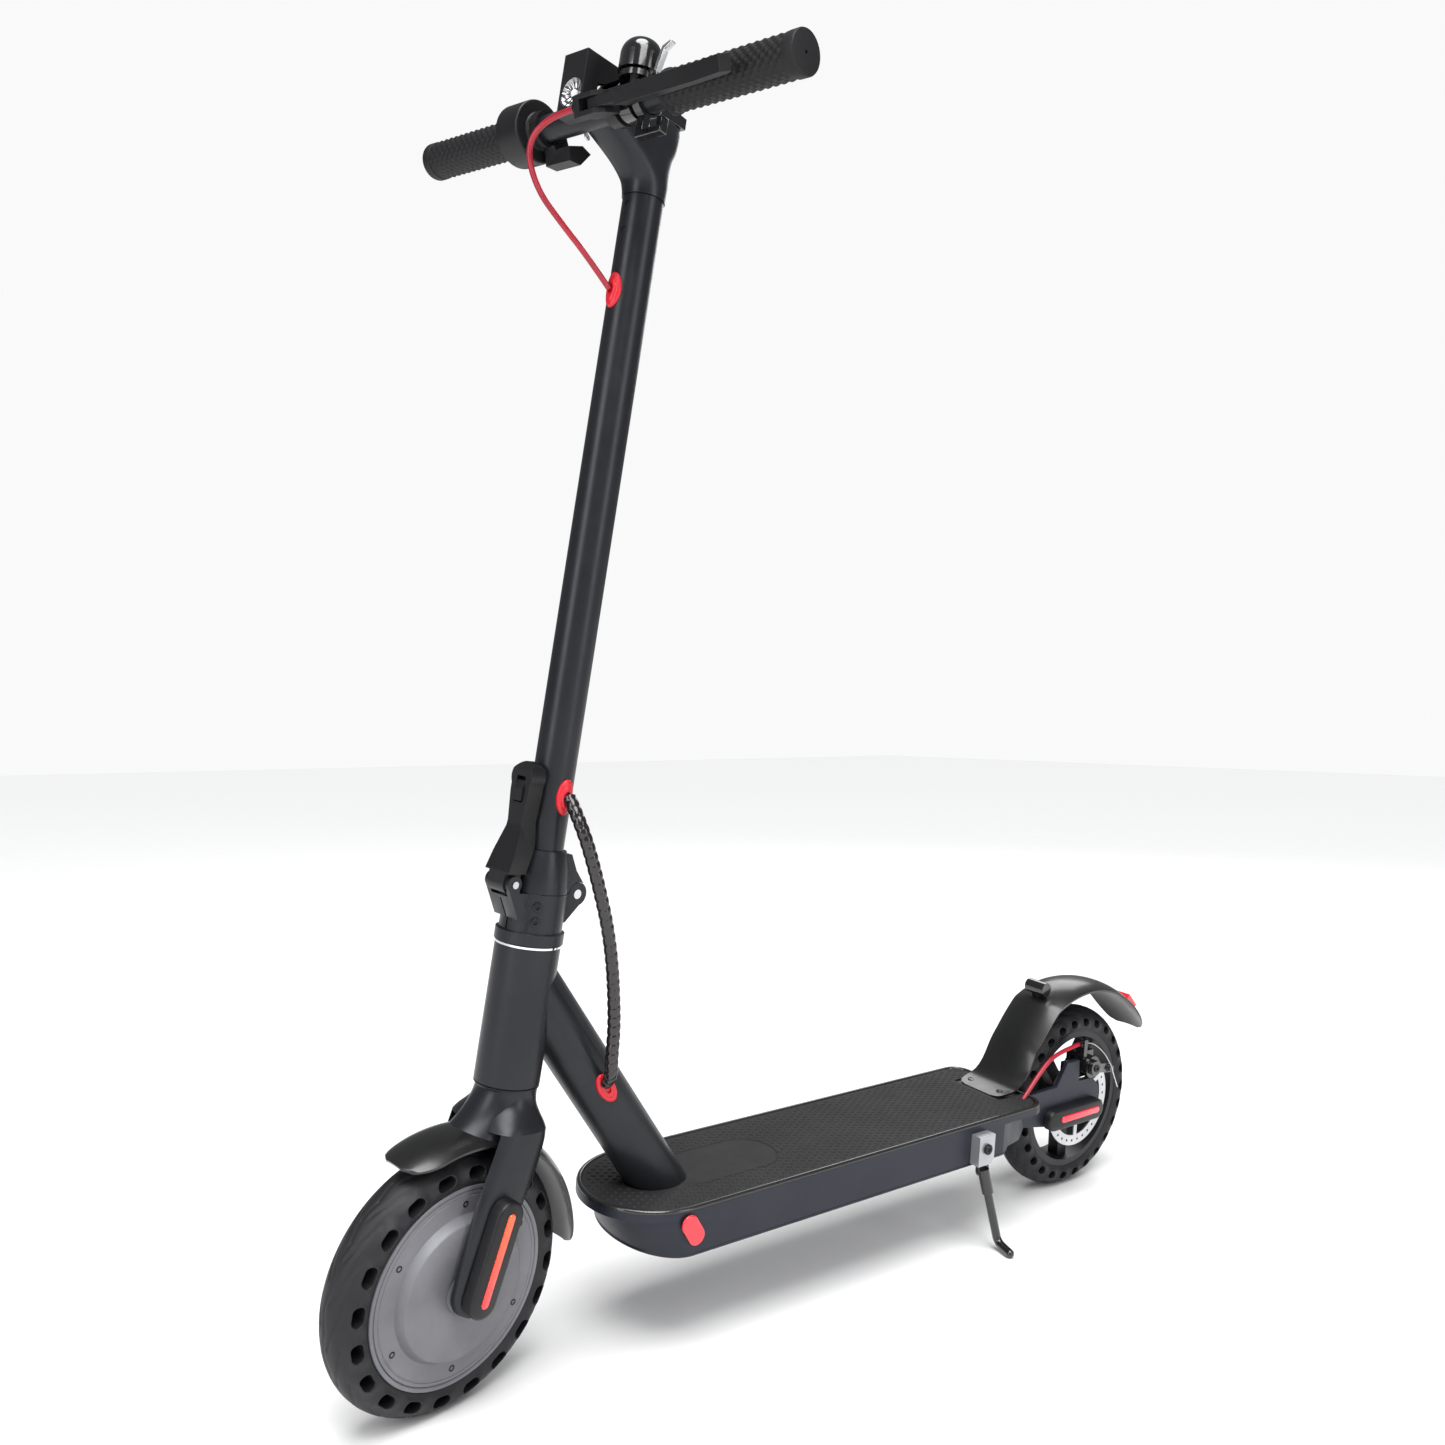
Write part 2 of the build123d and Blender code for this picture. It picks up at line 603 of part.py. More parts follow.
def flap_frame():
    """Z points out of the deck's left side at the charge port, X along the flap from its hinge."""
    return Pos(*FLAP_AT) * Rot(-90, 0, 0) * Rot(0, 0, -57)


def deck_shell():
    """The tray that holds the battery, under a flat top plate."""
    wall = 3.0
    plate = extrude(Pos(0, 0, PLATE_BOTTOM_Z) * deck_outline(), DECK_TOP_Z - PLATE_BOTTOM_Z)
    cavity = hull(wall) & box((130, 700), (-90, 90), (0, PLATE_BOTTOM_Z))
    body = plate + (hull() - cavity) - stern_room()
    return body - flap_frame() * rod_z(8.0, -30, 10, FLAP_LENGTH / 2)


def bottom_cover():
    plate = extrude(Pos(0, 0, DECK_BOTTOM_Z - COVER_T) * hull_outline(44.0), COVER_T - TOUCH)
    return plate - stern_room()


BOTTOM_SCREW_X = (204.0, 280.0, 355.0, 430.0, 505.0, 580.0)


def bottom_screws():
    """Button heads under the bottom cover, the last one at the nose."""
    spots = [(x, side * 61.0) for x in BOTTOM_SCREW_X for side in (-1, 1)] + [(628, -26), (628, 26)]
    top = DECK_BOTTOM_Z - COVER_T
    return [rod_z(3.0, top - 2.2, top - TOUCH, x, y) for x, y in spots]


def fender_foot_room():
    return box((60, 155), (-34, 34), (DECK_TOP_Z, 180))


def deck_mat():
    plate = extrude(Pos(0, 0, DECK_TOP_Z + TOUCH) * deck_outline(TRIM_W + 0.1), MAT_T)
    return plate - down_tube_frame() * rod_z(DOWN_TUBE_R + 0.3, -60, 60) - fender_foot_room()


def deck_edge_trim():
    """The rolled rim round the mat."""
    outer = extrude(Pos(0, 0, DECK_TOP_Z + TOUCH) * deck_outline(), MAT_T + 0.8)
    inner = extrude(Pos(0, 0, DECK_TOP_Z - 1) * deck_outline(TRIM_W), MAT_T + 9.0)
    return outer - inner - fender_foot_room()


def battery_pack():
    return box((215, 560), (-55, 55), (DECK_BOTTOM_Z + TOUCH, DECK_BOTTOM_Z + 29.0))


def charge_socket():
    body = rod_z(8.0 - 0.01, -20, -1.5, FLAP_LENGTH / 2) - rod_z(2.5, -8, 5, FLAP_LENGTH / 2)
    return flap_frame() * body


def charge_flap():
    """A rubber flap, hinged at its lower end on the deck's side."""
    oval = Pos(FLAP_LENGTH / 2, 0, 0.5) * SlotOverall(FLAP_LENGTH, FLAP_W)
    return flap_frame() * extrude(oval, 2.6)


ARM_Y = (36.0, 42.0)


def rear_arms():
    """Flat arms from the deck's tail to the axle. The left one has the caliper's ear."""
    top = 141.0
    low = 94.0
    outline = [
        Line((121.5, low + 10), (121.5, PLATE_BOTTOM_Z - TOUCH)),
        Line((121.5, PLATE_BOTTOM_Z - TOUCH), (DECK_REAR_X - TOUCH, PLATE_BOTTOM_Z - TOUCH)),
        Line((DECK_REAR_X - TOUCH, PLATE_BOTTOM_Z - TOUCH), (DECK_REAR_X - TOUCH, top - 1)),
        Line((DECK_REAR_X - TOUCH, top - 1), (6, top)),
        ThreePointArc((6, top), (6 - (top - low) / 2, (top + low) / 2), (6, low)),
        Line((6, low), (60, low - 1)),
        Line((60, low - 1), (121.5, low + 10)),
    ]
    face = make_face(outline)
    ear = polygon((22, 135), (66, 135), (45, 166), (24, 166))
    bore = rod_y(AXLE_R + SLIP, -80, 80, 0, WHEEL_R)
    left = side_plate(face + ear, *ARM_Y)
    right = mirror(side_plate(face, *ARM_Y), Plane.XZ)
    return [left - bore, right - bore]


def rear_axle():
    return rod_y(AXLE_R, -48, 48, 0, WHEEL_R)


def rear_axle_cover():
    shell = side_plate(stadium((-4.0, 105.0), (73.0, 105.0), 12.0), ARM_Y[1] + TOUCH, 52.0)
    return shell - rod_y(8.0, 20, 49, 0, WHEEL_R)


def rear_reflector():
    return side_plate(stadium((-3.0, 105.0), (60.0, 105.0), 3.8), 52.0 + TOUCH, 53.0)


FENDER_R = 144.0
FENDER_SPLIT = 62.0
FENDER_TIP = 151.0
TAIL_LIGHT_AT = 134.0


def fender_section(half_w, drop, thickness=2.5):
    """The mudguard's bowed strip, Y across and Z up."""
    return make_face([
        ThreePointArc((-half_w, -drop), (0, 0), (half_w, -drop)),
        Line((half_w, -drop), (half_w, -drop - thickness)),
        ThreePointArc((half_w, -drop - thickness), (0, -thickness), (-half_w, -drop - thickness)),
        Line((-half_w, -drop - thickness), (-half_w, -drop)),
    ])


def rear_fender():
    """A mudguard that rises from a foot on the deck in an S and arches over the wheel."""
    arch = Pos(-6, 0, WHEEL_R - 3) * mudguard(FENDER_R, 33.0, FENDER_SPLIT, FENDER_TIP)
    angle = math.radians(FENDER_SPLIT)
    start = (-6 + FENDER_R * math.cos(angle), 0, WHEEL_R - 3 + FENDER_R * math.sin(angle))
    foot_z = DECK_TOP_Z + TOUCH + 2.7
    run = Spline(Vector(*start), Vector(97, 0, 192), Vector(113, 0, 161), Vector(127, 0, 147.5),
                 Vector(154, 0, foot_z), tangents=[(math.sin(angle), 0, -math.cos(angle)), (1, 0, 0)])
    first = Plane(origin=run @ 0, x_dir=(0, 1, 0), z_dir=run % 0) * fender_section(33.0, 7.0)
    last = Plane(origin=run @ 1, x_dir=(0, 1, 0), z_dir=run % 1) * fender_section(33.0, 0.1)
    s_part = sweep([first, last], path=run, multisection=True)
    return biggest(arch + s_part)


def on_fender(angle):
    """X points out of the rear mudguard at an angle above forward."""
    return Pos(-6, 0, WHEEL_R - 3) * Rot(0, -angle, 0)


def under_fender_skin():
    """Everything under the rear mudguard's outer face."""
    return Pos(-6, 0, WHEEL_R - 3) * mudguard(FENDER_R + TOUCH, 33.0, FENDER_SPLIT - 2, FENDER_TIP, thickness=20)


def fender_hook():
    """The catch on the mudguard that holds the folded stem."""
    neck = box((FENDER_R - 2, FENDER_R + 9), (-6, 6), (-6, 6))
    head = rod_y(8.0, -13, 13, FENDER_R + 11, 0)
    return on_fender(65.5) * (neck + head) - under_fender_skin()


def tail_light():
    block = box((FENDER_R - 6, FENDER_R + 6), (-18, 18), (-11, 11))
    return on_fender(TAIL_LIGHT_AT) * block - under_fender_skin()


KICK_PIVOT = (227.0, 117.0)
KICK_BOLT_R = 3.5
KICK_SLOT_Y = (71.6, 76.8)
KICK_FOOT_Z = 15.1


def kickstand_bracket():
    """A block on the deck's side, slotted below and behind for the leg."""
    face = polygon((215, 104), (220, 99.5), (239, 99.5), (239, 131), (215, 131))
    block = side_plate(face, DECK_HALF_W + TOUCH, 80.0)
    slot = box((200, 236.5), KICK_SLOT_Y, (90, 127))
    return block - slot - rod_y(KICK_BOLT_R + SLIP, 60, 90, *KICK_PIVOT)


def kickstand_bolt():
    shank = rod_y(KICK_BOLT_R, DECK_HALF_W + 0.1, 81, *KICK_PIVOT)
    head = rod_y(5.5, 80.0 + TOUCH, 83.0, *KICK_PIVOT)
    return shank + head - side_plate(RegularPolygon(2.2, 6), 81.5, 84).moved(Pos(KICK_PIVOT[0], 0, KICK_PIVOT[1]))


def kickstand_leg():
    """Tongue, sleeve, rod and turned-out foot."""
    px, pz = KICK_PIVOT
    y0, y1 = KICK_SLOT_Y
    eye = side_plate(stadium(KICK_PIVOT, (px - 1, pz - 24), 8.0), y0 + 0.3, y1 - 0.3)
    top = Vector(px - 1.5, 75.2, pz - 23.6)
    elbow = Vector(210.5, 89.5, KICK_FOOT_Z + 1.0)
    toe = Vector(216.5, 111.0, KICK_FOOT_Z)
    leg_plane = Plane(origin=top, z_dir=elbow - top)
    sleeve = leg_plane * rod_z(6.2, 0, 26)
    path = FilletPolyline(top, elbow, toe, radius=9)
    rod = sweep(Plane(origin=path @ 0, z_dir=path % 0) * Circle(4.5), path)
    end = Pos(*toe) * Sphere(4.5)
    return eye + sleeve + rod + end - rod_y(KICK_BOLT_R + SLIP, 60, 90, *KICK_PIVOT)


CALIPER_AT = (3.0, 155.0)
FERRULE_AT = (20.0, 36.0, 182.0)


def brake_caliper():
    """A cable caliper that straddles the disc, bolted to the left arm's ear."""
    cx, cz = CALIPER_AT
    outer = box((-11, 17), (27.0, 35.0), (141, 171)) + rod_y(13.0, 34, 46, cx, cz)
    inner = box((-9, 15), (16, 23.0), (146, 171))
    bridge = box((-9, 15), (16, 35), (164.5, 171))
    ear = box((13, 44), (30, ARM_Y[0] - TOUCH), (147, 164))
    lug = box((11, 17), (30, 42), (165, 188)) + rod_x(4.5, 11, FERRULE_AT[0], FERRULE_AT[1], FERRULE_AT[2])
    body = outer + inner + bridge + ear + lug
    disc_room = rod_y(DISC_R + 0.8, DISC_Y[0] - 0.8, DISC_Y[1] + 0.8, 0, WHEEL_R)
    pad_bore = rod_y(8.5 + SLIP, 20, 33, cx, cz) - rod_y(30, 0, DISC_Y[0], cx, cz)
    shaft_bore = rod_y(4.0 + SLIP, 33, 60, cx, cz)
    cable_bore = rod_x(1.2, 0, 60, FERRULE_AT[1], FERRULE_AT[2])
    return biggest(body - disc_room - pad_bore - shaft_bore - cable_bore)


def brake_pad():
    """The piston and pad, half a millimetre off the disc."""
    return rod_y(8.5, DISC_Y[1] + 0.5, 32.5, *CALIPER_AT)


def caliper_arm():
    cx, cz = CALIPER_AT
    shaft = rod_y(4.0, 34, 46.3, cx, cz)
    hub = rod_y(9.0, 46.3, 51, cx, cz)
    arm = side_plate(stadium(CALIPER_AT, (-24, 151), 5.5), 46.3, 50)
    clamp = rod_y(4.0, 50, 53.5, -24, 151)
    return shaft + hub + arm + clamp


def rear_cable_points():
    return [(146, 45.5, 122), (92, 40, 168), (58, 37.5, 180), (FERRULE_AT[0] + 0.2, FERRULE_AT[1], FERRULE_AT[2])]


def rear_brake_cable():
    return bent_tube(rear_cable_points(), CABLE_R, "rear_brake_cable")


def rear_cable_room():
    """The straight bore for the rear brake cable through the deck."""
    start, end = (Vector(*p) for p in rear_cable_points()[:2])
    return Plane(origin=start, z_dir=end - start) * rod_z(CABLE_R + TOUCH, 3, (end - start).length * 0.6)


def wiring_harness():
    """The wrapped cable bundle from the stem's lower grommet to the down tube's, cut flush with both."""
    points = [(724, 8, 512), (724, 40, 486), (707, 43, 440), (688, 43, 378), (680, 42, 312), (681, 40, 280),
              (673.5, 6, 243)]
    tube = bent_tube(points, HARNESS_R, "wiring_harness")
    face = STEM_R + 4.0 + TOUCH
    stem_side = steer_frame * box((-60, 60), (-60, face), (330, 500))
    deck_side = box((600, 760), (-60, DOWN_TUBE_R + 4.0 + TOUCH), (180, 300))
    return biggest(tube - stem_side - deck_side)


def place(shape, frame=None):
    """Puts a drawn piece on the leaning scooter."""
    upright = shape if frame is None else frame * shape
    return Pos(*STAND_AT) * Rot(-LEAN, 0, 0) * upright


FRAME = {
    "deck_shell": lambda: deck_shell() - rear_cable_room(),
    "deck_mat": lambda: deck_mat() - rear_cable_room(),
    "deck_edge_trim": lambda: deck_edge_trim() - rear_cable_room(),
    "bottom_cover": bottom_cover,
    "bottom_screws": bottom_screws,
    "battery_pack": battery_pack,
    "charge_socket": charge_socket,
    "charge_flap": charge_flap,
    "down_tube": down_tube,
    "down_tube_grommet": down_tube_grommet,
    "rear_arms": rear_arms,
    "rear_axle": rear_axle,
    "rear_axle_covers": lambda: both_sides(rear_axle_cover()),
    "rear_reflectors": lambda: both_sides(rear_reflector()),
    "rear_fender": rear_fender,
    "fender_hook": fender_hook,
    "tail_light": tail_light,
    "kickstand_bracket": kickstand_bracket,
    "kickstand_bolt": kickstand_bolt,
    "kickstand_leg": kickstand_leg,
    "brake_caliper": brake_caliper,
    "brake_pad": brake_pad,
    "caliper_arm": caliper_arm,
    "rear_brake_cable": rear_brake_cable,
    "wiring_harness": wiring_harness,
}
HEAD = {
    "head_tube": head_tube,
    "headset_cups": headset_cups,
}
REAR_WHEEL = {
    "rear_rim": rear_rim,
    "rear_tyre": lambda: tyre(*REAR_HOLES),
    "brake_disc": brake_disc,
}
FRONT_WHEEL = {
    "motor_casing": motor_casing,
    "motor_side_plates": lambda: both_sides(motor_side_plate()),
    "front_tyre": lambda: tyre(*FRONT_HOLES),
    "motor_axle": motor_axle,
}
STEERED = {
    "fork": fork,
    "fork_covers": lambda: both_sides(fork_cover()),
    "fork_reflectors": lambda: both_sides(fork_reflector()),
    "front_fender": front_fender,
    "hinge_base": hinge_base,
    "hinge_pins": hinge_pins,
    "hinge_head": hinge_head,
    "fold_lever": fold_lever,
    "fold_catch": fold_catch,
    "stem_tube": stem_tube,
    "stem_grommets": stem_grommets,
    "stem_head": stem_head,
    "headlight": headlight,
    "headlight_lens": headlight_lens,
    "display": display,
    "power_button": power_button,
    "front_brake_cable": front_brake_cable,
}
ON_BAR = {
    "handlebar": handlebar,
    "grips": lambda: [grip(87.0), mirror(grip(98.5), Plane.XZ)],
    "throttle_housing": throttle_housing,
    "throttle_paddle": throttle_paddle,
    "bell": bell,
    "bell_lever": bell_lever,
    "hanging_hook": hanging_hook,
}
ON_BRAKE = {
    "brake_bracket": brake_bracket,
    "brake_lever": brake_lever,
}
GROUPS = [
    (FRAME, None),
    (HEAD, head_frame),
    (REAR_WHEEL, rear_axle_frame),
    (FRONT_WHEEL, front_axle_frame),
    (STEERED, steer_frame),
    (ON_BAR, bar_frame),
    (ON_BRAKE, brake_frame),
]


def as_solids(shape):
    """The separate solids of a piece, or of a list of pieces."""
    shapes = shape if isinstance(shape, list) else [shape]
    return [solid for item in shapes for solid in item.solids()]


def main():
    os.makedirs("parts", exist_ok=True)
    for pieces, frame in GROUPS:
        for name, make in pieces.items():
            solids = [place(solid, frame) for solid in as_solids(make())]
            piece = solids[0] if len(solids) == 1 else Compound(children=solids)
            export_step(piece, "parts/" + name + ".step")


if __name__ == "__main__":
    main()
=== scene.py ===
import json
import math

import bmesh
import bpy
from mathutils import Matrix, Vector


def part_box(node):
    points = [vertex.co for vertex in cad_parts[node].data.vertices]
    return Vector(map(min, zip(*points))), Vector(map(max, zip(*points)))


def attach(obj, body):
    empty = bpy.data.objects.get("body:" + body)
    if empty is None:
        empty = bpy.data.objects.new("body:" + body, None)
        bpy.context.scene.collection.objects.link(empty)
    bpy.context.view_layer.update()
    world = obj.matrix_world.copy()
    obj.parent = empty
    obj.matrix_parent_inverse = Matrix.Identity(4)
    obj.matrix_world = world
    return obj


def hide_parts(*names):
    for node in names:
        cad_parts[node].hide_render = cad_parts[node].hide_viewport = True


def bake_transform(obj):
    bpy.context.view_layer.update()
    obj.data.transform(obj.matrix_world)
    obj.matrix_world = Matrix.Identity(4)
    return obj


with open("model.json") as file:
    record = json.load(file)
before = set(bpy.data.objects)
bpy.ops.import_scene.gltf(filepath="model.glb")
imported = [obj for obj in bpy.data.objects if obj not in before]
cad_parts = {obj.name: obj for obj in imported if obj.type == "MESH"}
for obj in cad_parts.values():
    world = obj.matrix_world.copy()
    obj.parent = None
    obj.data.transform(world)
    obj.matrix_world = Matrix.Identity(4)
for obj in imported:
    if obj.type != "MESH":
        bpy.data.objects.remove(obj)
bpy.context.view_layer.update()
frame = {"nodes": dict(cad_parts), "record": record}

joints = {joint["name"]: joint for joint in frame["record"]["behaviour"]["joints"]}
bodies = frame["record"]["behaviour"]["bodies"]
body_of = {node: body for body, nodes in bodies.items() for node in nodes}

# The scooter's own frames, worked out from its joints. Lengths in them are millimetres.
MM = 0.001
RAKE = math.radians(6.5)
WHEEL_R = 108.0
AXLE_H = 200.0
BAR_U = 65.0
BAR_H = 947.0
BRAKE_TILT = math.radians(22.0)


def frame_matrix(x_axis, y_axis, z_axis, origin):
    """Local millimetres to the part's metres."""
    columns = [Vector(axis).normalized() * MM for axis in (x_axis, y_axis, z_axis)] + [Vector(origin)]
    matrix = Matrix.Identity(4)
    for index, column in enumerate(columns):
        for row in range(3):
            matrix[row][index] = column[row]
    return matrix


left = Vector(joints["rear_wheel_spin"]["axis"])
column = Vector(joints["steering"]["axis"])
up = Matrix.Rotation(RAKE, 3, left) @ column
forward = left.cross(up)
rear_hub = Vector(joints["rear_wheel_spin"]["pos_m"])
UPRIGHT = frame_matrix(forward, left, up, rear_hub - up * WHEEL_R * MM)

bar_left = Vector(joints["front_wheel_spin"]["axis"])
steer_origin = Vector(joints["steering"]["pos_m"]) - column * AXLE_H * MM
STEER = frame_matrix(bar_left.cross(column), bar_left, column, steer_origin)
BAR = STEER @ Matrix.Translation((BAR_U, 0.0, BAR_H))
FRONT_HUB = frame_matrix(bar_left.cross(column), bar_left, column, joints["front_wheel_spin"]["pos_m"])
REAR_HUB = frame_matrix(forward, left, up, rear_hub)


# Camera

CAMERA_AT = (1247.31, 905.83, 654.18)
CAMERA_YAW = math.radians(-127.686)
CAMERA_PITCH = math.radians(-3.020)
CAMERA_ROLL = math.radians(3.584)
FOCAL_PIXELS = 1236.58
FRAME_PIXELS = 1445.0
SENSOR_MM = 36.0


def make_camera():
    camera = bpy.data.objects.new("camera", bpy.data.cameras.new("camera"))
    bpy.context.scene.collection.objects.link(camera)
    bpy.context.scene.camera = camera
    level = math.cos(CAMERA_PITCH)
    look = Vector((level * math.cos(CAMERA_YAW), level * math.sin(CAMERA_YAW), math.sin(CAMERA_PITCH)))
    side = look.cross(Vector((0, 0, 1))).normalized()
    top = side.cross(look)
    right = side * math.cos(CAMERA_ROLL) + top * math.sin(CAMERA_ROLL)
    above = top * math.cos(CAMERA_ROLL) - side * math.sin(CAMERA_ROLL)
    turn = UPRIGHT.to_3x3().normalized() @ Matrix((right, above, -look)).transposed()
    camera.matrix_world = Matrix.Translation(UPRIGHT @ Vector(CAMERA_AT)) @ turn.to_4x4()
    camera.data.sensor_width = SENSOR_MM
    camera.data.lens = SENSOR_MM * FOCAL_PIXELS / FRAME_PIXELS
    camera.data.shift_x = -0.0043
    camera.data.shift_y = -0.0245
    camera.data.clip_end = 20.0


make_camera()


# Materials


def link_noise(nodes, links, coords, scale, detail=4.0, roughness=0.6):
    noise = nodes.new("ShaderNodeTexNoise")
    noise.inputs["Scale"].default_value = scale
    noise.inputs["Detail"].default_value = detail
    noise.inputs["Roughness"].default_value = roughness
    links.new(coords, noise.inputs["Vector"])
    return noise.outputs["Fac"]


def finish(name, colour, rough, metallic=0.0, coat=0.0, coat_rough=0.05, grain=900.0, bump=0.15, depth=0.0002,
           blotch=14.0, vary=0.18, rough_vary=0.08, specular=0.5):
    """A shader whose colour, roughness and surface vary by noise, with constants on its own sockets."""
    material = bpy.data.materials.new(name)
    material.use_nodes = True
    nodes, links = material.node_tree.nodes, material.node_tree.links
    shader = nodes["Principled BSDF"]
    coords = nodes.new("ShaderNodeTexCoord").outputs["Object"]
    patches = link_noise(nodes, links, coords, blotch)
    ramp = nodes.new("ShaderNodeValToRGB")
    ramp.color_ramp.elements[0].position = 0.3
    ramp.color_ramp.elements[1].position = 0.7
    ramp.color_ramp.elements[0].color = [c * (1 - vary) for c in colour] + [1]
    ramp.color_ramp.elements[1].color = [min(c * (1 + vary), 1) for c in colour] + [1]
    links.new(patches, ramp.inputs["Fac"])
    links.new(ramp.outputs["Color"], shader.inputs["Base Color"])
    wear = nodes.new("ShaderNodeMapRange")
    wear.inputs["To Min"].default_value = max(rough - rough_vary, 0.02)
    wear.inputs["To Max"].default_value = min(rough + rough_vary, 1.0)
    links.new(link_noise(nodes, links, coords, blotch * 5), wear.inputs["Value"])
    links.new(wear.outputs["Result"], shader.inputs["Roughness"])
    rise = nodes.new("ShaderNodeBump")
    rise.inputs["Strength"].default_value = bump
    rise.inputs["Distance"].default_value = depth
    links.new(link_noise(nodes, links, coords, grain, 2.0), rise.inputs["Height"])
    links.new(rise.outputs["Normal"], shader.inputs["Normal"])
    shader.inputs["Metallic"].default_value = metallic
    shader.inputs["Coat Weight"].default_value = coat
    shader.inputs["Coat Roughness"].default_value = coat_rough
    shader.inputs["Specular IOR Level"].default_value = specular
    return material


black_paint = finish("black_paint", (0.016, 0.017, 0.020), 0.34, metallic=0.35, grain=2600, bump=0.12,
                     specular=0.38)
deck_paint = finish("deck_paint", (0.016, 0.018, 0.028), 0.38, metallic=0.3, grain=2600, bump=0.12,
                    specular=0.4)
motor_grey = finish("motor_grey", (0.16, 0.16, 0.175), 0.5, metallic=0.3, grain=2200, bump=0.15)
wheel_black = finish("wheel_black", (0.016, 0.016, 0.018), 0.45, metallic=0.3)
kick_black = finish("kick_black", (0.008, 0.008, 0.009), 0.22, coat=0.5)
kick_block = finish("kick_block", (0.42, 0.43, 0.45), 0.4, metallic=0.8)
black_plastic = finish("black_plastic", (0.008, 0.008, 0.009), 0.4, grain=1500, bump=0.25, specular=0.32)
gloss_black = finish("gloss_black", (0.007, 0.007, 0.008), 0.16, coat=0.8, bump=0.03)
fender_black = finish("fender_black", (0.008, 0.008, 0.008), 0.3, coat=0.35, coat_rough=0.16, bump=0.05,
                      specular=0.4)
lamp_silver = finish("lamp_silver", (0.3, 0.3, 0.31), 0.2, metallic=1.0, bump=0.03)
red_cable = finish("red_cable", (0.3, 0.006, 0.02), 0.36, grain=1500, bump=0.12)
red_plastic = finish("red_plastic", (0.75, 0.015, 0.03), 0.3, coat=0.6, bump=0.05)
battery_case = finish("battery_case", (0.03, 0.06, 0.16), 0.5)
mat_rubber = finish("mat_rubber", (0.016, 0.016, 0.017), 0.7, grain=1200, bump=0.5, specular=0.35)
grip_rubber = finish("grip_rubber", (0.008, 0.008, 0.009), 0.55, grain=1600, bump=0.35, specular=0.3)
red_rubber = finish("red_rubber", (0.55, 0.008, 0.02), 0.38, grain=1500, bump=0.12)
wrap_black = finish("wrap_black", (0.010, 0.007, 0.008), 0.25, coat=0.3, bump=0.05)
tyre_rubber = finish("tyre_rubber", (0.011, 0.011, 0.013), 0.55, grain=1400, bump=0.35, specular=0.35)
black_steel = finish("black_steel", (0.03, 0.03, 0.032), 0.35, metallic=0.9, bump=0.05)
steel = finish("steel", (0.55, 0.55, 0.56), 0.3, metallic=1.0, bump=0.05)
chrome = finish("chrome", (0.74, 0.74, 0.76), 0.12, metallic=1.0, bump=0.02)
lens_clear = finish("lens_clear", (0.85, 0.88, 0.9), 0.05, bump=0.02)

def reflector(name, high, low, axis, bottom, top):
    """A prismatic red strip whose colour runs from one tint to another along an axis, in metres: the brighter
    tint towards the top is a painted highlight.
    """
    material = finish(name, low, 0.22, coat=0.8, grain=700, bump=0.5, depth=0.0006, vary=0.1)
    nodes, links = material.node_tree.nodes, material.node_tree.links
    shader = nodes["Principled BSDF"]
    split = nodes.new("ShaderNodeSeparateXYZ")
    links.new(nodes["Texture Coordinate"].outputs["Object"], split.inputs["Vector"])
    span = nodes.new("ShaderNodeMapRange")
    span.inputs["From Min"].default_value = bottom
    span.inputs["From Max"].default_value = top
    links.new(split.outputs[axis], span.inputs["Value"])
    # Painted highlight: the colour brightens from the low tint to the high tint towards the top of the axis.
    ramp = nodes.new("ShaderNodeValToRGB")
    ramp.color_ramp.elements[0].color = list(low) + [1]
    ramp.color_ramp.elements[1].color = list(high) + [1]
    links.new(span.outputs["Result"], ramp.inputs["Fac"])
    links.new(ramp.outputs["Color"], shader.inputs["Base Color"])
    return material


cover_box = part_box("fork_reflectors")
# The fork reflector is painted brighter and more orange towards its top: a painted highlight.
reflector_fork_painted_highlight = reflector("reflector_fork_painted_highlight", (1.0, 0.12, 0.01), (0.85, 0.01, 0.02), "Z", cover_box[0][2],
                           cover_box[1][2])
reflector_rear = finish("reflector_rear", (0.8, 0.008, 0.03), 0.22, coat=0.8, grain=700, bump=0.5,
                        depth=0.0006)

rim_black = finish("rim_black", (0.012, 0.012, 0.012), 0.28, coat=0.4, bump=0.05)

CAD_FINISH = {
    "black_paint": black_paint, "deck_paint": deck_paint, "motor_grey": motor_grey,
    "wheel_black": wheel_black, "kick_black": kick_black, "kick_block": kick_block,
    "black_plastic": black_plastic, "gloss_black": gloss_black, "red_plastic": red_plastic,
    "battery_case": battery_case, "mat_rubber": mat_rubber, "grip_rubber": grip_rubber, "red_rubber": red_rubber, "wrap_black": wrap_black,
    "tyre_rubber": tyre_rubber, "steel": steel, "lens": lens_clear,
}
slots = {part["node"]: part["material_slot"] for part in frame["record"]["subparts"]}
for node, thing in frame["nodes"].items():
    for place in thing.material_slots:
        place.material = CAD_FINISH[slots[node]]


# Mesh tools


def add_piece(name, verts, faces, material, place, body, replaces=(), sharp=35):
    """A mesh drawn in local millimetres, riding on a body and standing for its CAD nodes."""
    mesh = bpy.data.meshes.new(name)
    mesh.from_pydata([place @ Vector(vert) for vert in verts], [], faces)
    return dress(mesh, name, material, body, replaces, sharp)


def dress(mesh, name, material, body, replaces=(), sharp=35):
    """An object for the mesh, with outward faces, its material and its body, if it has just one."""
    tool = bmesh.new()
    tool.from_mesh(mesh)
    bmesh.ops.remove_doubles(tool, verts=tool.verts, dist=2e-6)
    bmesh.ops.recalc_face_normals(tool, faces=tool.faces)
    tool.to_mesh(mesh)
    tool.free()
    mesh.materials.clear()
    mesh.materials.append(material)
    for face in mesh.polygons:
        face.use_smooth = True
    mesh.set_sharp_from_angle(angle=math.radians(sharp))
    piece = bpy.data.objects.new(name, mesh)
    bpy.context.scene.collection.objects.link(piece)
    if body:
        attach(piece, body)
    if replaces:
        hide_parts(*replaces)
    return piece


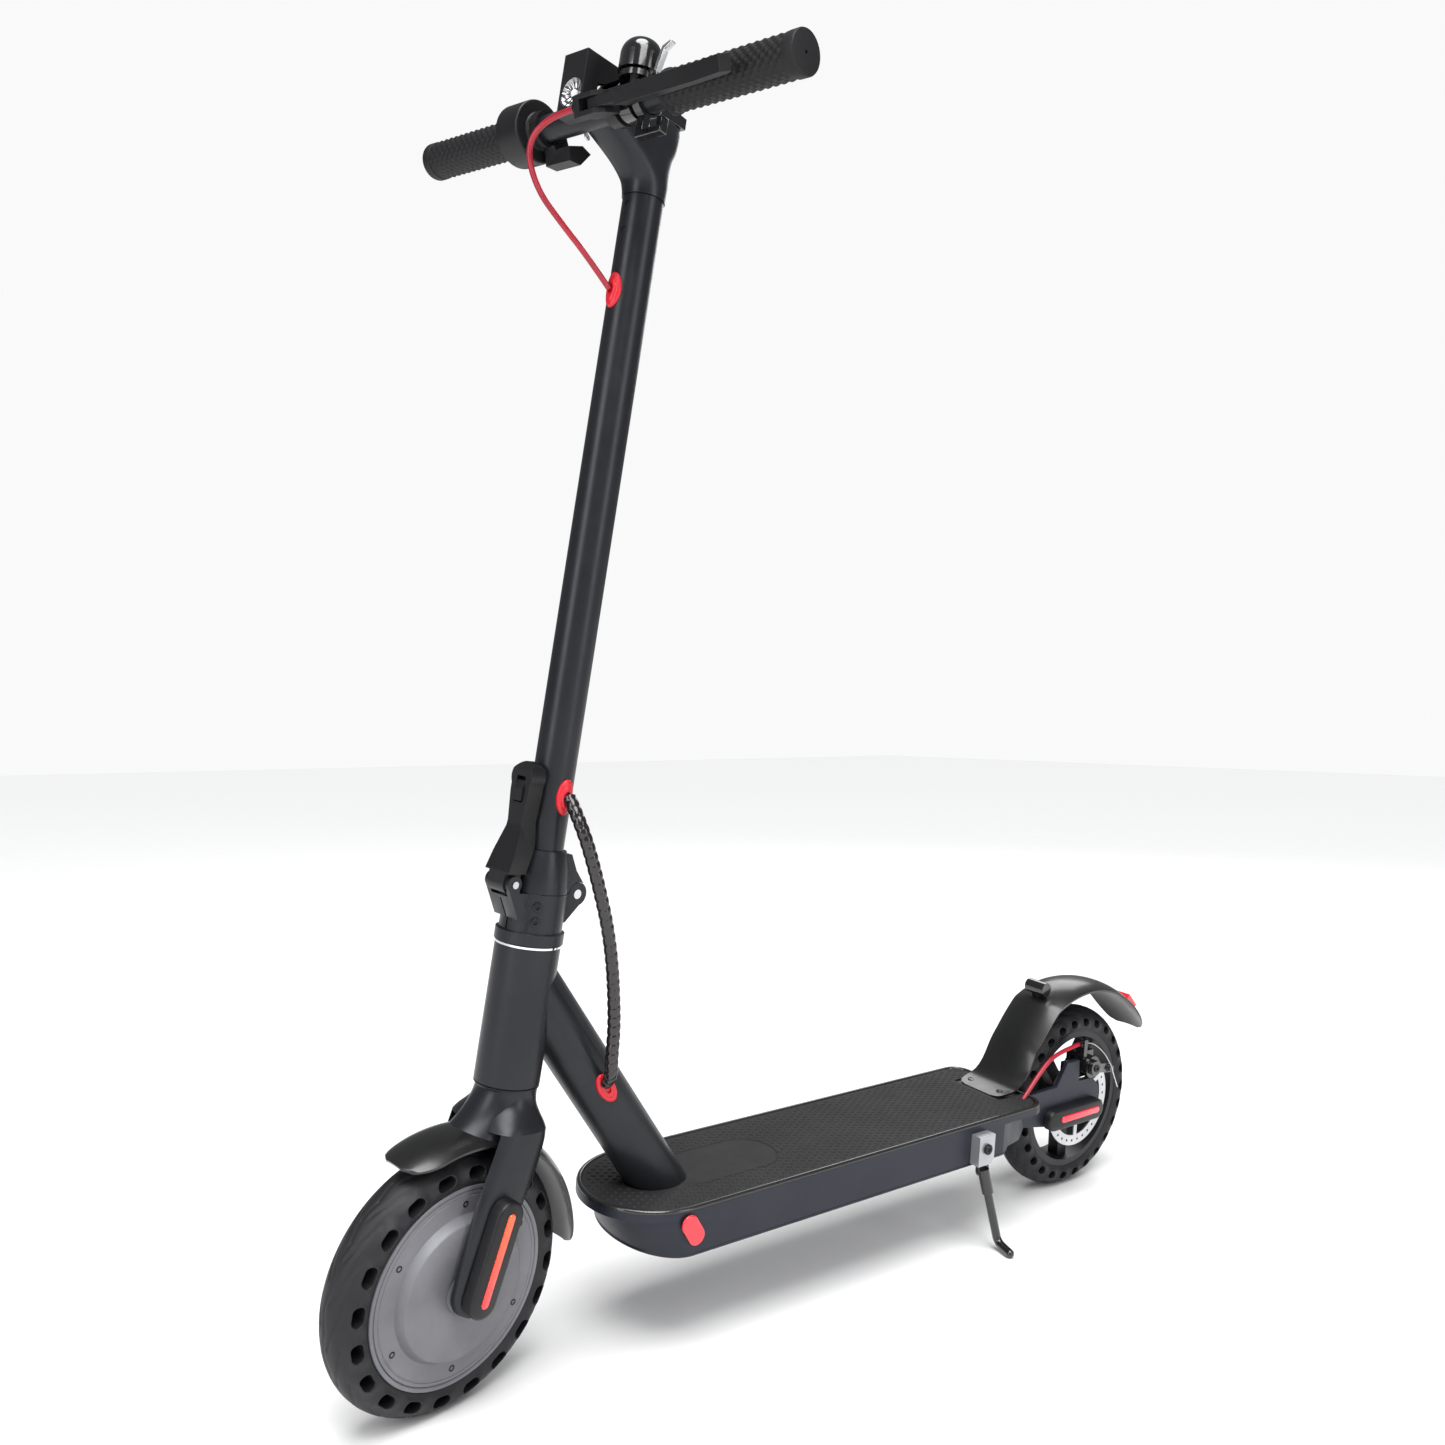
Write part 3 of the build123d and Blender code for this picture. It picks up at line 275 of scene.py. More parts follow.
def rounded(node, material, width=0.8, segments=2):
    """The CAD node's shape on its own body, with its edges rounded by a width in millimetres."""
    mesh = frame["nodes"][node].data.copy()
    tool = bmesh.new()
    tool.from_mesh(mesh)
    bmesh.ops.remove_doubles(tool, verts=tool.verts, dist=2e-6)
    bmesh.ops.dissolve_limit(tool, angle_limit=math.radians(0.4), verts=tool.verts, edges=tool.edges)
    tool.to_mesh(mesh)
    tool.free()
    piece = dress(mesh, node + "_look", material, body_of[node], (node,))
    modifier = piece.modifiers.new("bevel", "BEVEL")
    modifier.width = width * MM
    modifier.segments = segments
    modifier.limit_method = "ANGLE"
    modifier.angle_limit = math.radians(35)
    modifier.use_clamp_overlap = True
    return piece


def loft(rings, closed=True, caps=True):
    """Faces between equal loops of points, with their ends filled."""
    count = len(rings[0])
    verts = [point for ring in rings for point in ring]
    faces = []
    last = count if closed else count - 1
    for row in range(len(rings) - 1):
        for i in range(last):
            j = (i + 1) % count
            faces.append((row * count + i, row * count + j, (row + 1) * count + j, (row + 1) * count + i))
    if caps and closed:
        faces.append(tuple(range(count - 1, -1, -1)))
        faces.append(tuple((len(rings) - 1) * count + i for i in range(count)))
    return verts, faces


def lathe(profile, steps=96, axis="Y"):
    """A turned shape from a closed outline of radius and place along the axis."""
    rings = []
    for step in range(steps):
        angle = 2 * math.pi * step / steps
        cos, sin = math.cos(angle), math.sin(angle)
        if axis == "Y":
            rings.append([(r * cos, a, r * sin) for r, a in profile])
        else:
            rings.append([(r * cos, r * sin, a) for r, a in profile])
    rings.append(rings[0])
    return loft(rings, caps=False)


def turned(shape, matrix):
    """The shape moved by a matrix."""
    verts, faces = shape
    return [tuple(matrix @ Vector(vert)) for vert in verts], faces


def joined(*shapes):
    """Several shapes as one."""
    verts, faces = [], []
    for more_verts, more_faces in shapes:
        base = len(verts)
        verts.extend(more_verts)
        faces.extend(tuple(base + i for i in face) for face in more_faces)
    return verts, faces


def arc_points(centre, radius, start, end, steps):
    """Points on a circle between two angles in degrees."""
    points = []
    for step in range(steps + 1):
        angle = math.radians(start + (end - start) * step / steps)
        points.append((centre[0] + radius * math.cos(angle), centre[1] + radius * math.sin(angle)))
    return points


def circle(steps):
    """The cosine and sine of even steps round a circle."""
    turns = [2 * math.pi * i / steps for i in range(steps)]
    return [(math.cos(turn), math.sin(turn)) for turn in turns]


def stadium_points(start, end, radius, steps=12):
    """A loop with round ends about two points."""
    turn = math.degrees(math.atan2(end[1] - start[1], end[0] - start[0]))
    return (arc_points(end, radius, turn - 90, turn + 90, steps)
            + arc_points(start, radius, turn + 90, turn + 270, steps))


# Wheels

TYRE_BORE_R = 82.0
BEAD_HALF = 19.4
HOLE_R = 92.6
SIDE_POINTS = ((82.0, 19.4), (90.0, 22.4), (100.0, 17.6))
PATCH_LOW = 84.0
PATCH_HIGH = 102.0
CROWN_CENTRE = 84.6
CROWN_R = 23.4
ACROSS = 24
PER_SIDE = 16
MOTOR_PLATE_R = 78.1


def circle_through(first, second, third):
    """The centre and radius of a circle through three points."""
    ax, ay = first
    bx, by = second
    cx, cy = third
    span = 2 * (ax * (by - cy) + bx * (cy - ay) + cx * (ay - by))
    a2, b2, c2 = ax * ax + ay * ay, bx * bx + by * by, cx * cx + cy * cy
    x = (a2 * (by - cy) + b2 * (cy - ay) + c2 * (ay - by)) / span
    y = (a2 * (cx - bx) + b2 * (ax - cx) + c2 * (bx - ax)) / span
    return (x, y), math.hypot(ax - x, ay - y)


SIDE_CENTRE, SIDE_R = circle_through(*SIDE_POINTS)


def tyre_side(radius):
    """How far the sidewall stands from the wheel's middle plane."""
    if radius > 100.0:
        return math.sqrt(CROWN_R ** 2 - (radius - CROWN_CENTRE) ** 2)
    return SIDE_CENTRE[1] + math.sqrt(SIDE_R ** 2 - (radius - SIDE_CENTRE[0]) ** 2)


def hole_loop(length, width, grow):
    """Points round a side hole as tangent and radius, clockwise from its top left corner."""
    half = width / 2 + grow
    straight = (length - width) / 2
    outline = []
    for i in range(24):
        angle = math.pi / 2 - math.pi * (i + 0.5) / 24
        outline.append((straight + half * math.cos(angle), half * math.sin(angle)))
    outline += [(straight * (1 - (i + 1) / 4.5), -half) for i in range(8)]
    for i in range(24):
        angle = -math.pi / 2 - math.pi * (i + 0.5) / 24
        outline.append((-straight + half * math.cos(angle), half * math.sin(angle)))
    outline += [(straight * ((i + 1) / 4.5 - 1), half) for i in range(8)]
    start = 52
    return outline[start:] + outline[:start]


def patch_loop(half):
    """Points round one sector's side wall as angle and radius, clockwise from its top left corner."""
    steps = [i / PER_SIDE for i in range(PER_SIDE)]
    top = [(half * (2 * s - 1), PATCH_HIGH) for s in steps]
    right = [(half, PATCH_HIGH + (PATCH_LOW - PATCH_HIGH) * s) for s in steps]
    bottom = [(half * (1 - 2 * s), PATCH_LOW) for s in steps]
    far = [(-half, PATCH_LOW + (PATCH_HIGH - PATCH_LOW) * s) for s in steps]
    return top + right + bottom + far


def tread_depth(turn, across):
    """The depth of the tread grooves. Turn counts pitches round, across runs from -1 to 1."""
    wave = 0.09 * (abs((turn * 2) % 2 - 1) * 2 - 1)
    depth = 0.9 * math.exp(-((across - wave) / 0.06) ** 2)
    sweep = abs(across) ** 1.5 * 1.3
    phase = (turn + (0.5 if across < 0 else 0.0) - sweep) % 1.0
    if 0.2 < abs(across) < 0.95:
        depth += 1.2 * math.exp(-((phase - 0.5) / 0.075) ** 2)
    if abs(across) > 0.6:
        half_phase = (turn * 2 - sweep * 2) % 1.0
        depth += 0.5 * math.exp(-((half_phase - 0.5) / 0.12) ** 2)
    return min(depth, 1.2)


def around(radius, y, angle):
    """A point on a circle about the wheel's own axle."""
    return (radius * math.cos(angle), y, radius * math.sin(angle))


def hole_rings(side, middle, half, length, width):
    """Loops from a sector's border in to its hole, over a raised lip."""
    rings = [[around(radius, side * tyre_side(radius), middle + angle) for angle, radius in patch_loop(half)]]
    for grow, rise in ((1.5, 0.0), (1.2, 0.3), (0.45, 0.32), (0.0, -0.1), (0.0, -1.0)):
        ring = []
        for tangent, lift in hole_loop(length, width, grow):
            radius = math.hypot(tangent, HOLE_R + lift)
            angle = math.atan2(tangent, HOLE_R + lift)
            ring.append(around(radius, side * (tyre_side(radius) + rise), middle + angle))
        rings.append(ring)
    return rings


def tyre_mesh(count, length, width):
    """A honeycomb tyre: side walls with lipped through holes, a grooved crown and a plain bore."""
    verts, faces = [], []
    sector = 2 * math.pi / count
    for index in range(count):
        edges = []
        for side in (1, -1):
            rings = hole_rings(side, index * sector, sector / 2, length, width)
            base = len(verts)
            more, quads = loft(rings, caps=False)
            verts.extend(more)
            faces.extend(tuple(base + i for i in quad) for quad in quads)
            edges.append(len(verts) - len(rings[0]))
        size = len(rings[0])
        for i in range(size):
            j = (i + 1) % size
            faces.append((edges[0] + i, edges[0] + j, edges[1] + j, edges[1] + i))
    spread = math.asin(tyre_side(PATCH_HIGH) / CROWN_R)
    low = tyre_side(PATCH_LOW)
    profile = [(PATCH_LOW, low), (TYRE_BORE_R, BEAD_HALF), (TYRE_BORE_R, -BEAD_HALF), (PATCH_LOW, -low)]
    crown, bore = [], []
    for row in range(count * PER_SIDE):
        angle = (row / PER_SIDE - 0.5) * sector
        line = []
        for step in range(ACROSS + 1):
            across = 2 * step / ACROSS - 1
            depth = 0.0 if step in (0, ACROSS) else tread_depth(row / PER_SIDE, across)
            reach = CROWN_R - depth
            tilt = across * spread
            line.append(around(CROWN_CENTRE + reach * math.cos(tilt), reach * math.sin(tilt), angle))
        crown.append(line)
        bore.append([around(radius, y, angle) for radius, y in profile])
    for lines in (crown, bore):
        verts, faces = joined((verts, faces), loft(lines + [lines[0]], closed=False))
    return verts, faces


def make_tyres():
    add_piece("front_tyre_look", *tyre_mesh(20, 16.0, 9.6), tyre_rubber, FRONT_HUB, "front_wheel",
              ("front_tyre",), sharp=50)
    add_piece("rear_tyre_look", *tyre_mesh(26, 11.5, 9.0), tyre_rubber, REAR_HUB, "rear_wheel",
              ("rear_tyre",), sharp=50)


def mirrored(shape):
    """The shape and its mirror image across Y."""
    verts, faces = shape
    return joined(shape, ([(x, -y, z) for x, y, z in verts], [tuple(reversed(face)) for face in faces]))


def facing(direction, place):
    """A matrix that turns a shape drawn up Z to face a direction from a place."""
    turn = Vector(direction).to_track_quat("Z", "Y").to_matrix().to_4x4()
    return Matrix.Translation(place) @ turn


def screw(radius, height, socket=0.5, depth=0.8, steps=36):
    """A round screw head standing on Z, with a rounded edge and a six-sided socket."""
    turns = [2 * math.pi * i / steps for i in range(steps)]
    rings = [[(r * math.cos(a), r * math.sin(a), z) for a in turns]
             for r, z in ((radius, 0), (radius, height * 0.6), (radius * 0.93, height * 0.88),
                          (radius * 0.8, height), (radius * (socket + 0.08), height))]
    for rise in (height, height - depth):
        ring = []
        for a in turns:
            flat = math.cos(math.pi / 6) / math.cos((a % (math.pi / 3)) - math.pi / 6)
            ring.append((radius * socket * flat * math.cos(a), radius * socket * flat * math.sin(a), rise))
        rings.append(ring)
    return loft(rings)


def make_motor():
    """Casing, domed side plates with a turned groove, and their sunk screws."""
    rim = TYRE_BORE_R - 0.05
    edge = MOTOR_PLATE_R
    lip = [(rim, 0.0), (rim, 20.4), (rim - 0.5, 20.97), (edge + 1.0, 20.97), (edge + 0.2, 20.3),
           (edge + 0.15, 17.0), (66.2, 16.98), (66.2, 0.0)]
    add_piece("motor_casing_look", *mirrored(lathe(lip, 144)), motor_grey, FRONT_HUB, "front_wheel",
              ("motor_casing",))
    plate = [(6.2, 17.1), (edge - 0.1, 17.1), (edge - 0.1, 19.9), (edge - 0.6, 20.55), (edge - 3.0, 20.55),
             (edge - 3.4, 20.1), (edge - 4.0, 20.1), (edge - 4.4, 20.55), (60.9, 20.6), (60.0, 20.9),
             (59.6, 21.6), (56.1, 27.9), (55.6, 28.6), (54.6, 28.98), (18.0, 28.98), (17.4, 28.6),
             (16.6, 28.6), (16.0, 28.98), (6.2, 28.98), (6.2, 17.1)]
    add_piece("motor_plates_look", *mirrored(lathe(plate, 144)), motor_grey, FRONT_HUB, "front_wheel",
              ("motor_side_plates",))
    heads = []
    for index in range(6):
        angle = math.radians(60 * index + 25)
        spot = (68.0 * math.cos(angle), 20.4, 68.0 * math.sin(angle))
        heads.append(turned(screw(2.7, 0.5, socket=0.62, depth=0.45), facing((0, 1, 0), spot)))
    add_piece("motor_screws", *mirrored(joined(*heads)), black_steel, FRONT_HUB, "front_wheel")


make_tyres()
make_motor()


# Fork, fenders and their covers

FORK_OFFSET = 34.6
FRONT_AXLE_H = -3.413
FENDER_R = 124.0
FENDER_HALF = 28.0
VISOR_TOP_R = 26.3
VISOR_TOP_H = 152.4


def smooth_path(points, count):
    """An open Catmull-Rom curve through the points."""
    padded = [points[0]] + list(points) + [points[-1]]
    path = []
    for i in range(1, len(padded) - 2):
        p0, p1, p2, p3 = (Vector(padded[i + k]) for k in (-1, 0, 1, 2))
        for step in range(count):
            t = step / count
            path.append(0.5 * ((2 * p1) + (p2 - p0) * t + (2 * p0 - 5 * p1 + 4 * p2 - p3) * t * t
                               + (3 * p1 - p0 - 3 * p2 + p3) * t ** 3))
    path.append(Vector(points[-1]))
    return path


def oval_loft(stations):
    """A smooth column of ovals about U.

    Each station is a height, a middle, the half widths along U and V, and how square it is.
    """
    rings = []
    for h, u, half_u, half_v, power in smooth_path(stations, 4):
        rings.append([(u + half_u * math.copysign(abs(c) ** (2 / power), c),
                       half_v * math.copysign(abs(s) ** (2 / power), s), h) for c, s in circle(48)])
    return loft(rings)


def fork_crown():
    """The crown: a neck under the head that swells into two shoulders."""
    return oval_loft([(VISOR_TOP_H, 0.0, 27.0, 27.0, 2.0), (150.5, -0.5, 26.2, 26.4, 2.0),
                      (145.0, -1.0, 24.6, 26.8, 2.0),
                      (138.0, -0.6, 24.2, 29.8, 2.1), (131.0, 0.4, 26.4, 35.0, 2.4),
                      (126.0, 1.2, 28.2, 39.4, 2.7),
                      (121.5, 2.0, 29.6, 41.8, 3.0)])


LEG_INNER = 33.0


def leg_ring(h, u, half_u, centre, outer, power, steps=32):
    """A section of the left leg: flat inside at its inner face, bowed outside."""
    reach = outer - centre
    start = math.asin(min(((LEG_INNER - centre) / reach) ** (power / 2), 0.999))
    ring = []
    for i in range(steps + 1):
        angle = start + (math.pi - 2 * start) * i / steps
        c, s = math.cos(angle), math.sin(angle)
        bow = math.copysign(abs(c) ** (2 / power), c)
        ring.append((u + half_u * bow, centre + reach * s ** (2 / power), h))
    first, last = ring[0][0], ring[-1][0]
    ring += [(last + (first - last) * i / 8, LEG_INNER, h) for i in range(1, 8)]
    return ring


def fork_leg():
    """One leg, a shoulder at its top and flat at its axle end: the arguments of its sections."""
    stations = [(121.5, 2.0, 29.6, 0.0, 41.8, 3.0), (112.0, 3.0, 30.0, 4.0, 42.8, 2.9),
                (98.0, 6.0, 29.4, 12.0, 43.0, 2.8), (82.0, 10.3, 28.0, 20.0, 43.0, 2.7),
                (66.0, 15.7, 25.8, 26.0, 42.9, 2.7), (48.0, 21.4, 22.8, 30.0, 42.6, 2.8),
                (30.0, 27.0, 19.8, 32.0, 42.3, 3.0), (12.0, 32.0, 17.8, 32.4, 42.0, 3.4),
                (FRONT_AXLE_H, 34.6, 16.9, 32.4, 42.0, 3.6), (-11.0, 34.6, 14.8, 32.4, 42.0, 3.6),
                (-16.5, 34.6, 10.6, 32.4, 41.8, 3.6), (-19.8, 34.6, 4.0, 32.4, 41.4, 3.6)]
    return loft([leg_ring(*station) for station in smooth_path(stations, 4)])


def make_fork():
    steerer_tube = lathe([(14.0, 145.0), (14.0, 305.5), (12.0, 305.9), (12.0, 145.0)], 48, axis="Z")
    shape = joined(fork_crown(), mirrored(fork_leg()), steerer_tube)
    add_piece("fork_look", *shape, black_paint, STEER, "steerer", ("fork",), sharp=50)
    seam = [(27.0, 151.6), (27.6, 151.8), (27.6, 152.5), (27.0, 152.7)]
    add_piece("fork_collar", *lathe(seam + seam[:1], 64, axis="Z"), black_plastic, STEER, "steerer")


def fender_sheet(radius, half_w, start, end, drop, thick, corner, axle, steps=64, across=20):
    """An arched shell with bowed section, rounded corners and a rolled edge, about an axle."""
    rings = []
    for i in range(steps + 1):
        share = i / steps
        angle = math.radians(start + (end - start) * share)
        reach = min(share * (end - start), (1 - share) * (end - start)) / corner
        pinch = 0.0 if reach >= 1 else 1 - math.sqrt(max(1 - (1 - reach) ** 2, 0))
        narrow = half_w * (1 - pinch * 0.62)
        top, under = [], []
        for j in range(across + 1):
            t = 2 * j / across - 1
            y = narrow * t
            fall = drop * (abs(y) / half_w) ** 2.3
            roll = 1.2 if abs(t) > 0.93 else 0.0
            r = radius - fall - roll * 0.4
            top.append(around_axle(axle, r, y, angle))
            under.append(around_axle(axle, r - thick, y * 0.985, angle))
        rings.append(top + under[::-1])
    return loft(rings)


def around_axle(axle, radius, y, angle):
    """A point on a circle about an axle given in X and Z, at a place across it."""
    return (axle[0] + radius * math.cos(angle), y, axle[1] + radius * math.sin(angle))


def front_visor(steps=40, rows=16):
    """The flared panel that runs from the crown's neck down on to the fender."""
    rings = []
    for row in range(rows + 1):
        share = row / rows
        flare = share ** 1.9
        ring = []
        for i in range(steps + 1):
            angle = math.pi * (i / steps - 0.5)
            top = Vector((-1 + VISOR_TOP_R * math.cos(angle), VISOR_TOP_R * math.sin(angle), VISOR_TOP_H))
            low_u, low_v = 16 + 31 * math.cos(angle), 27.0 * math.sin(angle)
            reach = FENDER_R - 8.0 * (abs(low_v) / FENDER_HALF) ** 2.3 - 0.6
            low_h = FRONT_AXLE_H + math.sqrt(reach ** 2 - (low_u - FORK_OFFSET) ** 2)
            ring.append((top.x + (low_u - top.x) * flare, top.y + (low_v - top.y) * flare,
                         top.z + (low_h - top.z) * share))
        ring += [(-4, 14, ring[0][2]), (-4, -14, ring[0][2])]
        rings.append(ring)
    return loft(rings)


def make_front_fender():
    arch = fender_sheet(FENDER_R, FENDER_HALF, 57.0, 177.0, 8.0, 2.2, 14.0, (FORK_OFFSET, FRONT_AXLE_H))
    add_piece("front_fender_look", *arch, fender_black, STEER, "steerer", ("front_fender",), sharp=60)
    add_piece("front_visor", *front_visor(), black_paint, STEER, "steerer")


def capsule(start, end, radius, low, high, edge, axis_steps=16):
    """A pill standing out in Y from low to high, with a rounded outer edge."""
    rings = []
    for inset, y in ((0, low), (0, high - edge), (edge * 0.3, high - edge * 0.3), (edge, high)):
        rings.append([(a, y, b) for a, b in stadium_points(start, end, radius - inset, axis_steps)])
    return loft(rings)


COVER_LEAN = math.radians(12.3)
COVER_REACH = 66.4
COVER_HIGH = (FORK_OFFSET - COVER_REACH * math.sin(COVER_LEAN),
              FRONT_AXLE_H + COVER_REACH * math.cos(COVER_LEAN))


def make_fork_covers():
    low = (FORK_OFFSET, FRONT_AXLE_H)
    shell = capsule(low, COVER_HIGH, 13.0, 42.9, 54.9, 2.6)
    add_piece("fork_covers_look", *mirrored(shell), black_plastic, STEER, "steerer", ("fork_covers",),
              sharp=45)
    strip = capsule(low, COVER_HIGH, 3.6, 54.8, 55.9, 0.7)
    add_piece("fork_reflectors_look", *mirrored(strip), reflector_fork_painted_highlight, STEER, "steerer",
              ("fork_reflectors",), sharp=45)
    nut = screw(7.0, 3.0, socket=0.45, depth=1.6)
    nuts = joined(*(turned(nut, facing((0, side, 0), (low[0], side * 42.2, low[1]))) for side in (1, -1)))
    add_piece("front_axle_nuts", *nuts, black_steel, STEER, "steerer")


make_fork()
make_front_fender()
make_fork_covers()


# Deck

DECK_HALF_W = 68.0
DECK_TOP_Z = 138.0
DECK_REAR_X = 113.0
DECK_ARC_X = 600.0
DECK_NOSE = 71.0
MAT_TOP_Z = 140.63
RIM_TOP_Z = 141.4
FOOT_HALF_W = 34.0
FOOT_FRONT_X = 155.0
DECK_CORNER_R = 22.0
STUD_PITCH = (6.6, 7.6)
STUD_RISE = 0.75
MAT_LOWERED = 0.8
LABEL_START_X = 492.0
LABEL_END_X = 560.0
LABEL_R = 33.0


def deck_loop(inset=0.0, nose_steps=48):
    """The deck's plan, from its rear right corner round by the nose."""
    half = DECK_HALF_W - inset
    rear = DECK_REAR_X + inset
    corner = DECK_CORNER_R - inset
    loop = []
    for i in range(nose_steps + 1):
        angle = math.pi * (i / nose_steps - 0.5)
        loop.append((DECK_ARC_X + (DECK_NOSE - inset) * math.cos(angle), half * math.sin(angle)))
    loop += arc_points((rear + corner, half - corner), corner, 90, 180, 8)
    loop += arc_points((rear + corner, -half + corner), corner, 180, 270, 8)
    return loop


def deck_rim():
    """The rolled bead round the mat, with the top plate's edge under it."""
    section = [(5.1, DECK_TOP_Z + 0.1), (4.6, MAT_TOP_Z), (3.8, RIM_TOP_Z - 0.2), (2.9, RIM_TOP_Z),
               (1.9, RIM_TOP_Z - 0.15), (0.9, RIM_TOP_Z - 0.9), (0.3, RIM_TOP_Z - 1.9),
               (0.3, DECK_TOP_Z + 0.1)]
    rings = [[(x, y, z) for x, y in deck_loop(inset)] for inset, z in section]
    rings.append(rings[0])
    return loft(rings, caps=False)


def smooth_patch(x, y):
    """Whether a spot lies on the mat's plain label patch behind the tube."""
    near = min(max(x, LABEL_START_X), LABEL_END_X)
    return math.hypot(x - near, y) < LABEL_R


def inside_deck(x, y, margin):
    """Whether a spot is on the mat, clear of its edge and of the mudguard's foot."""
    if x > DECK_ARC_X:
        return ((x - DECK_ARC_X) / (DECK_NOSE - margin)) ** 2 + (y / (DECK_HALF_W - margin)) ** 2 < 1
    if x < FOOT_FRONT_X + 5 and abs(y) < FOOT_HALF_W + 4:
        return False
    corner_x, corner_y = DECK_REAR_X + DECK_CORNER_R - x, abs(y) - (DECK_HALF_W - DECK_CORNER_R)
    if corner_x > 0 and corner_y > 0:
        return math.hypot(corner_x, corner_y) < DECK_CORNER_R - margin
    return x > DECK_REAR_X + margin and abs(y) < DECK_HALF_W - margin


def near_tube(x, y):
    """Whether a spot is under the foot of the down tube."""
    return ((x - 597.0) / 35.0) ** 2 + (y / 30.0) ** 2 < 1


def dot(x, y, z, long, wide, height, steps=8):
    """A low rounded stud."""
    rings = []
    for scale, rise in ((1.0, 0.0), (0.86, 0.7), (0.5, 1.0)):
        rings.append([(x + long * scale * c, y + wide * scale * s, z + height * rise)
                      for c, s in circle(steps)])
    return loft(rings)


def mat_studs():
    """Rows of studs over the mat, staggered, left out of its plain patch and under the tube."""
    verts, faces = [], []
    rows = int((DECK_ARC_X + DECK_NOSE - DECK_REAR_X) / STUD_PITCH[0])
    for row in range(rows + 1):
        x = DECK_REAR_X + 4 + row * STUD_PITCH[0]
        for column_index in range(-9, 10):
            y = (column_index + (0.5 if row % 2 else 0.0)) * STUD_PITCH[1]
            if not inside_deck(x, y, 9.0) or smooth_patch(x, y) or near_tube(x, y):
                continue
            shape = dot(x, y, MAT_TOP_Z - STUD_RISE, 2.5, 2.1, STUD_RISE)
            base = len(verts)
            verts.extend(shape[0])
            faces.extend(tuple(base + i for i in face) for face in shape[1])
    return verts, faces


def patch_frame():
    """The thin raised border of the plain patch."""
    section = [(LABEL_R, 0.0), (LABEL_R - 0.4, 0.7), (LABEL_R - 1.4, 0.7), (LABEL_R - 1.8, 0.0)]
    base = MAT_TOP_Z - MAT_LOWERED
    rings = []
    for radius, rise in section + section[:1]:
        outline = stadium_points((LABEL_START_X, 0), (LABEL_END_X, 0), radius, 20)
        rings.append([(x, y, base + rise) for x, y in outline])
    return loft(rings, caps=False)


def make_mat():
    """The mat with its top lowered by the height of the studs that stand on it."""
    base = rounded("deck_mat", mat_rubber, 0.2, 1)
    tool = bmesh.new()
    tool.from_mesh(base.data)
    lower = UPRIGHT.to_3x3() @ Vector((0, 0, -MAT_LOWERED))
    top = [vert for vert in tool.verts if (UPRIGHT.inverted() @ vert.co).z > MAT_TOP_Z - 0.1]
    for vert in top:
        vert.co += lower
    tool.to_mesh(base.data)
    tool.free()
    add_piece("mat_studs", *mat_studs(), mat_rubber, UPRIGHT, "frame", sharp=60)
    add_piece("mat_patch_border", *patch_frame(), mat_rubber, UPRIGHT, "frame", sharp=60)


def make_deck():
    make_mat()
    add_piece("deck_rim_look", *deck_rim(), rim_black, UPRIGHT, "frame", ("deck_edge_trim",), sharp=50)
    for look in (
            ("deck_shell", deck_paint, 1.0), ("bottom_cover", deck_paint, 0.8),
            ("bottom_screws", steel, 0.7), ("down_tube", black_paint, 0.6), ("rear_arms", deck_paint, 0.9),
            ("charge_flap", red_plastic, 1.0, 3),
    ):
        rounded(*look)


make_deck()


# Handlebar and what it carries

BAR_R = 11.0
GRIP_R = 16.2
BAR_HALF = 215.0


def grip_bump(turn, along):
    """The height of the grip's diamond pattern, from 0 to 1."""
    wave = math.cos(2 * math.pi * (turn * 14 + along / 7.4)) * 0.5 + 0.5
    cross = math.cos(2 * math.pi * (turn * 14 - along / 7.4)) * 0.5 + 0.5
    return (wave * cross) ** 0.7


def grip_mesh(start, steps=112, pitch=1.2):
    """A rubber grip with raised diamonds, a flange inside and a flat end cap with a small hole."""
    end = BAR_HALF + 2.5
    profile = [(BAR_R + 0.2, start, 0), (GRIP_R + 0.4, start, 0), (GRIP_R + 0.8, start + 0.5, 0),
               (GRIP_R + 0.8, start + 2.4, 0), (GRIP_R - 0.6, start + 3.2, 0), (GRIP_R - 0.8, start + 5.0, 0)]
    count = int((end - 11 - start - 6) / pitch)
    profile += [(GRIP_R - 1.1, start + 6 + i * pitch, 1) for i in range(count + 1)]
    profile += [(GRIP_R - 0.8, end - 9.0, 0), (GRIP_R - 0.1, end - 8.6, 0), (GRIP_R - 0.05, end - 1.2, 0),
                (GRIP_R - 0.4, end - 0.3, 0), (GRIP_R - 1.2, end - 0.02, 0), (1.6, end - 0.02, 0),
                (1.4, end - 0.4, 0), (1.4, end - 3.0, 0), (0.05, end - 3.0, 0)]
    rings = []
    for radius, v, bumpy in profile:
        ring = []
        for i in range(steps):
            angle = 2 * math.pi * i / steps
            r = radius + (1.1 * grip_bump(i / steps, v) if bumpy else 0.0)
            ring.append((r * math.cos(angle), v, r * math.sin(angle)))
        rings.append(ring)
    return loft(rings, caps=False)


def make_grips():
    right = turned(grip_mesh(98.5), Matrix.Scale(-1, 4, (0, 1, 0)))
    add_piece("grips_look", *joined(grip_mesh(87.0), right), grip_rubber, BAR, "stem", ("grips",), sharp=50)


STEM_R = 17.6
STEM_TOP_H = 903.0
STEM_SCREWS_H = (894.0, 872.0)


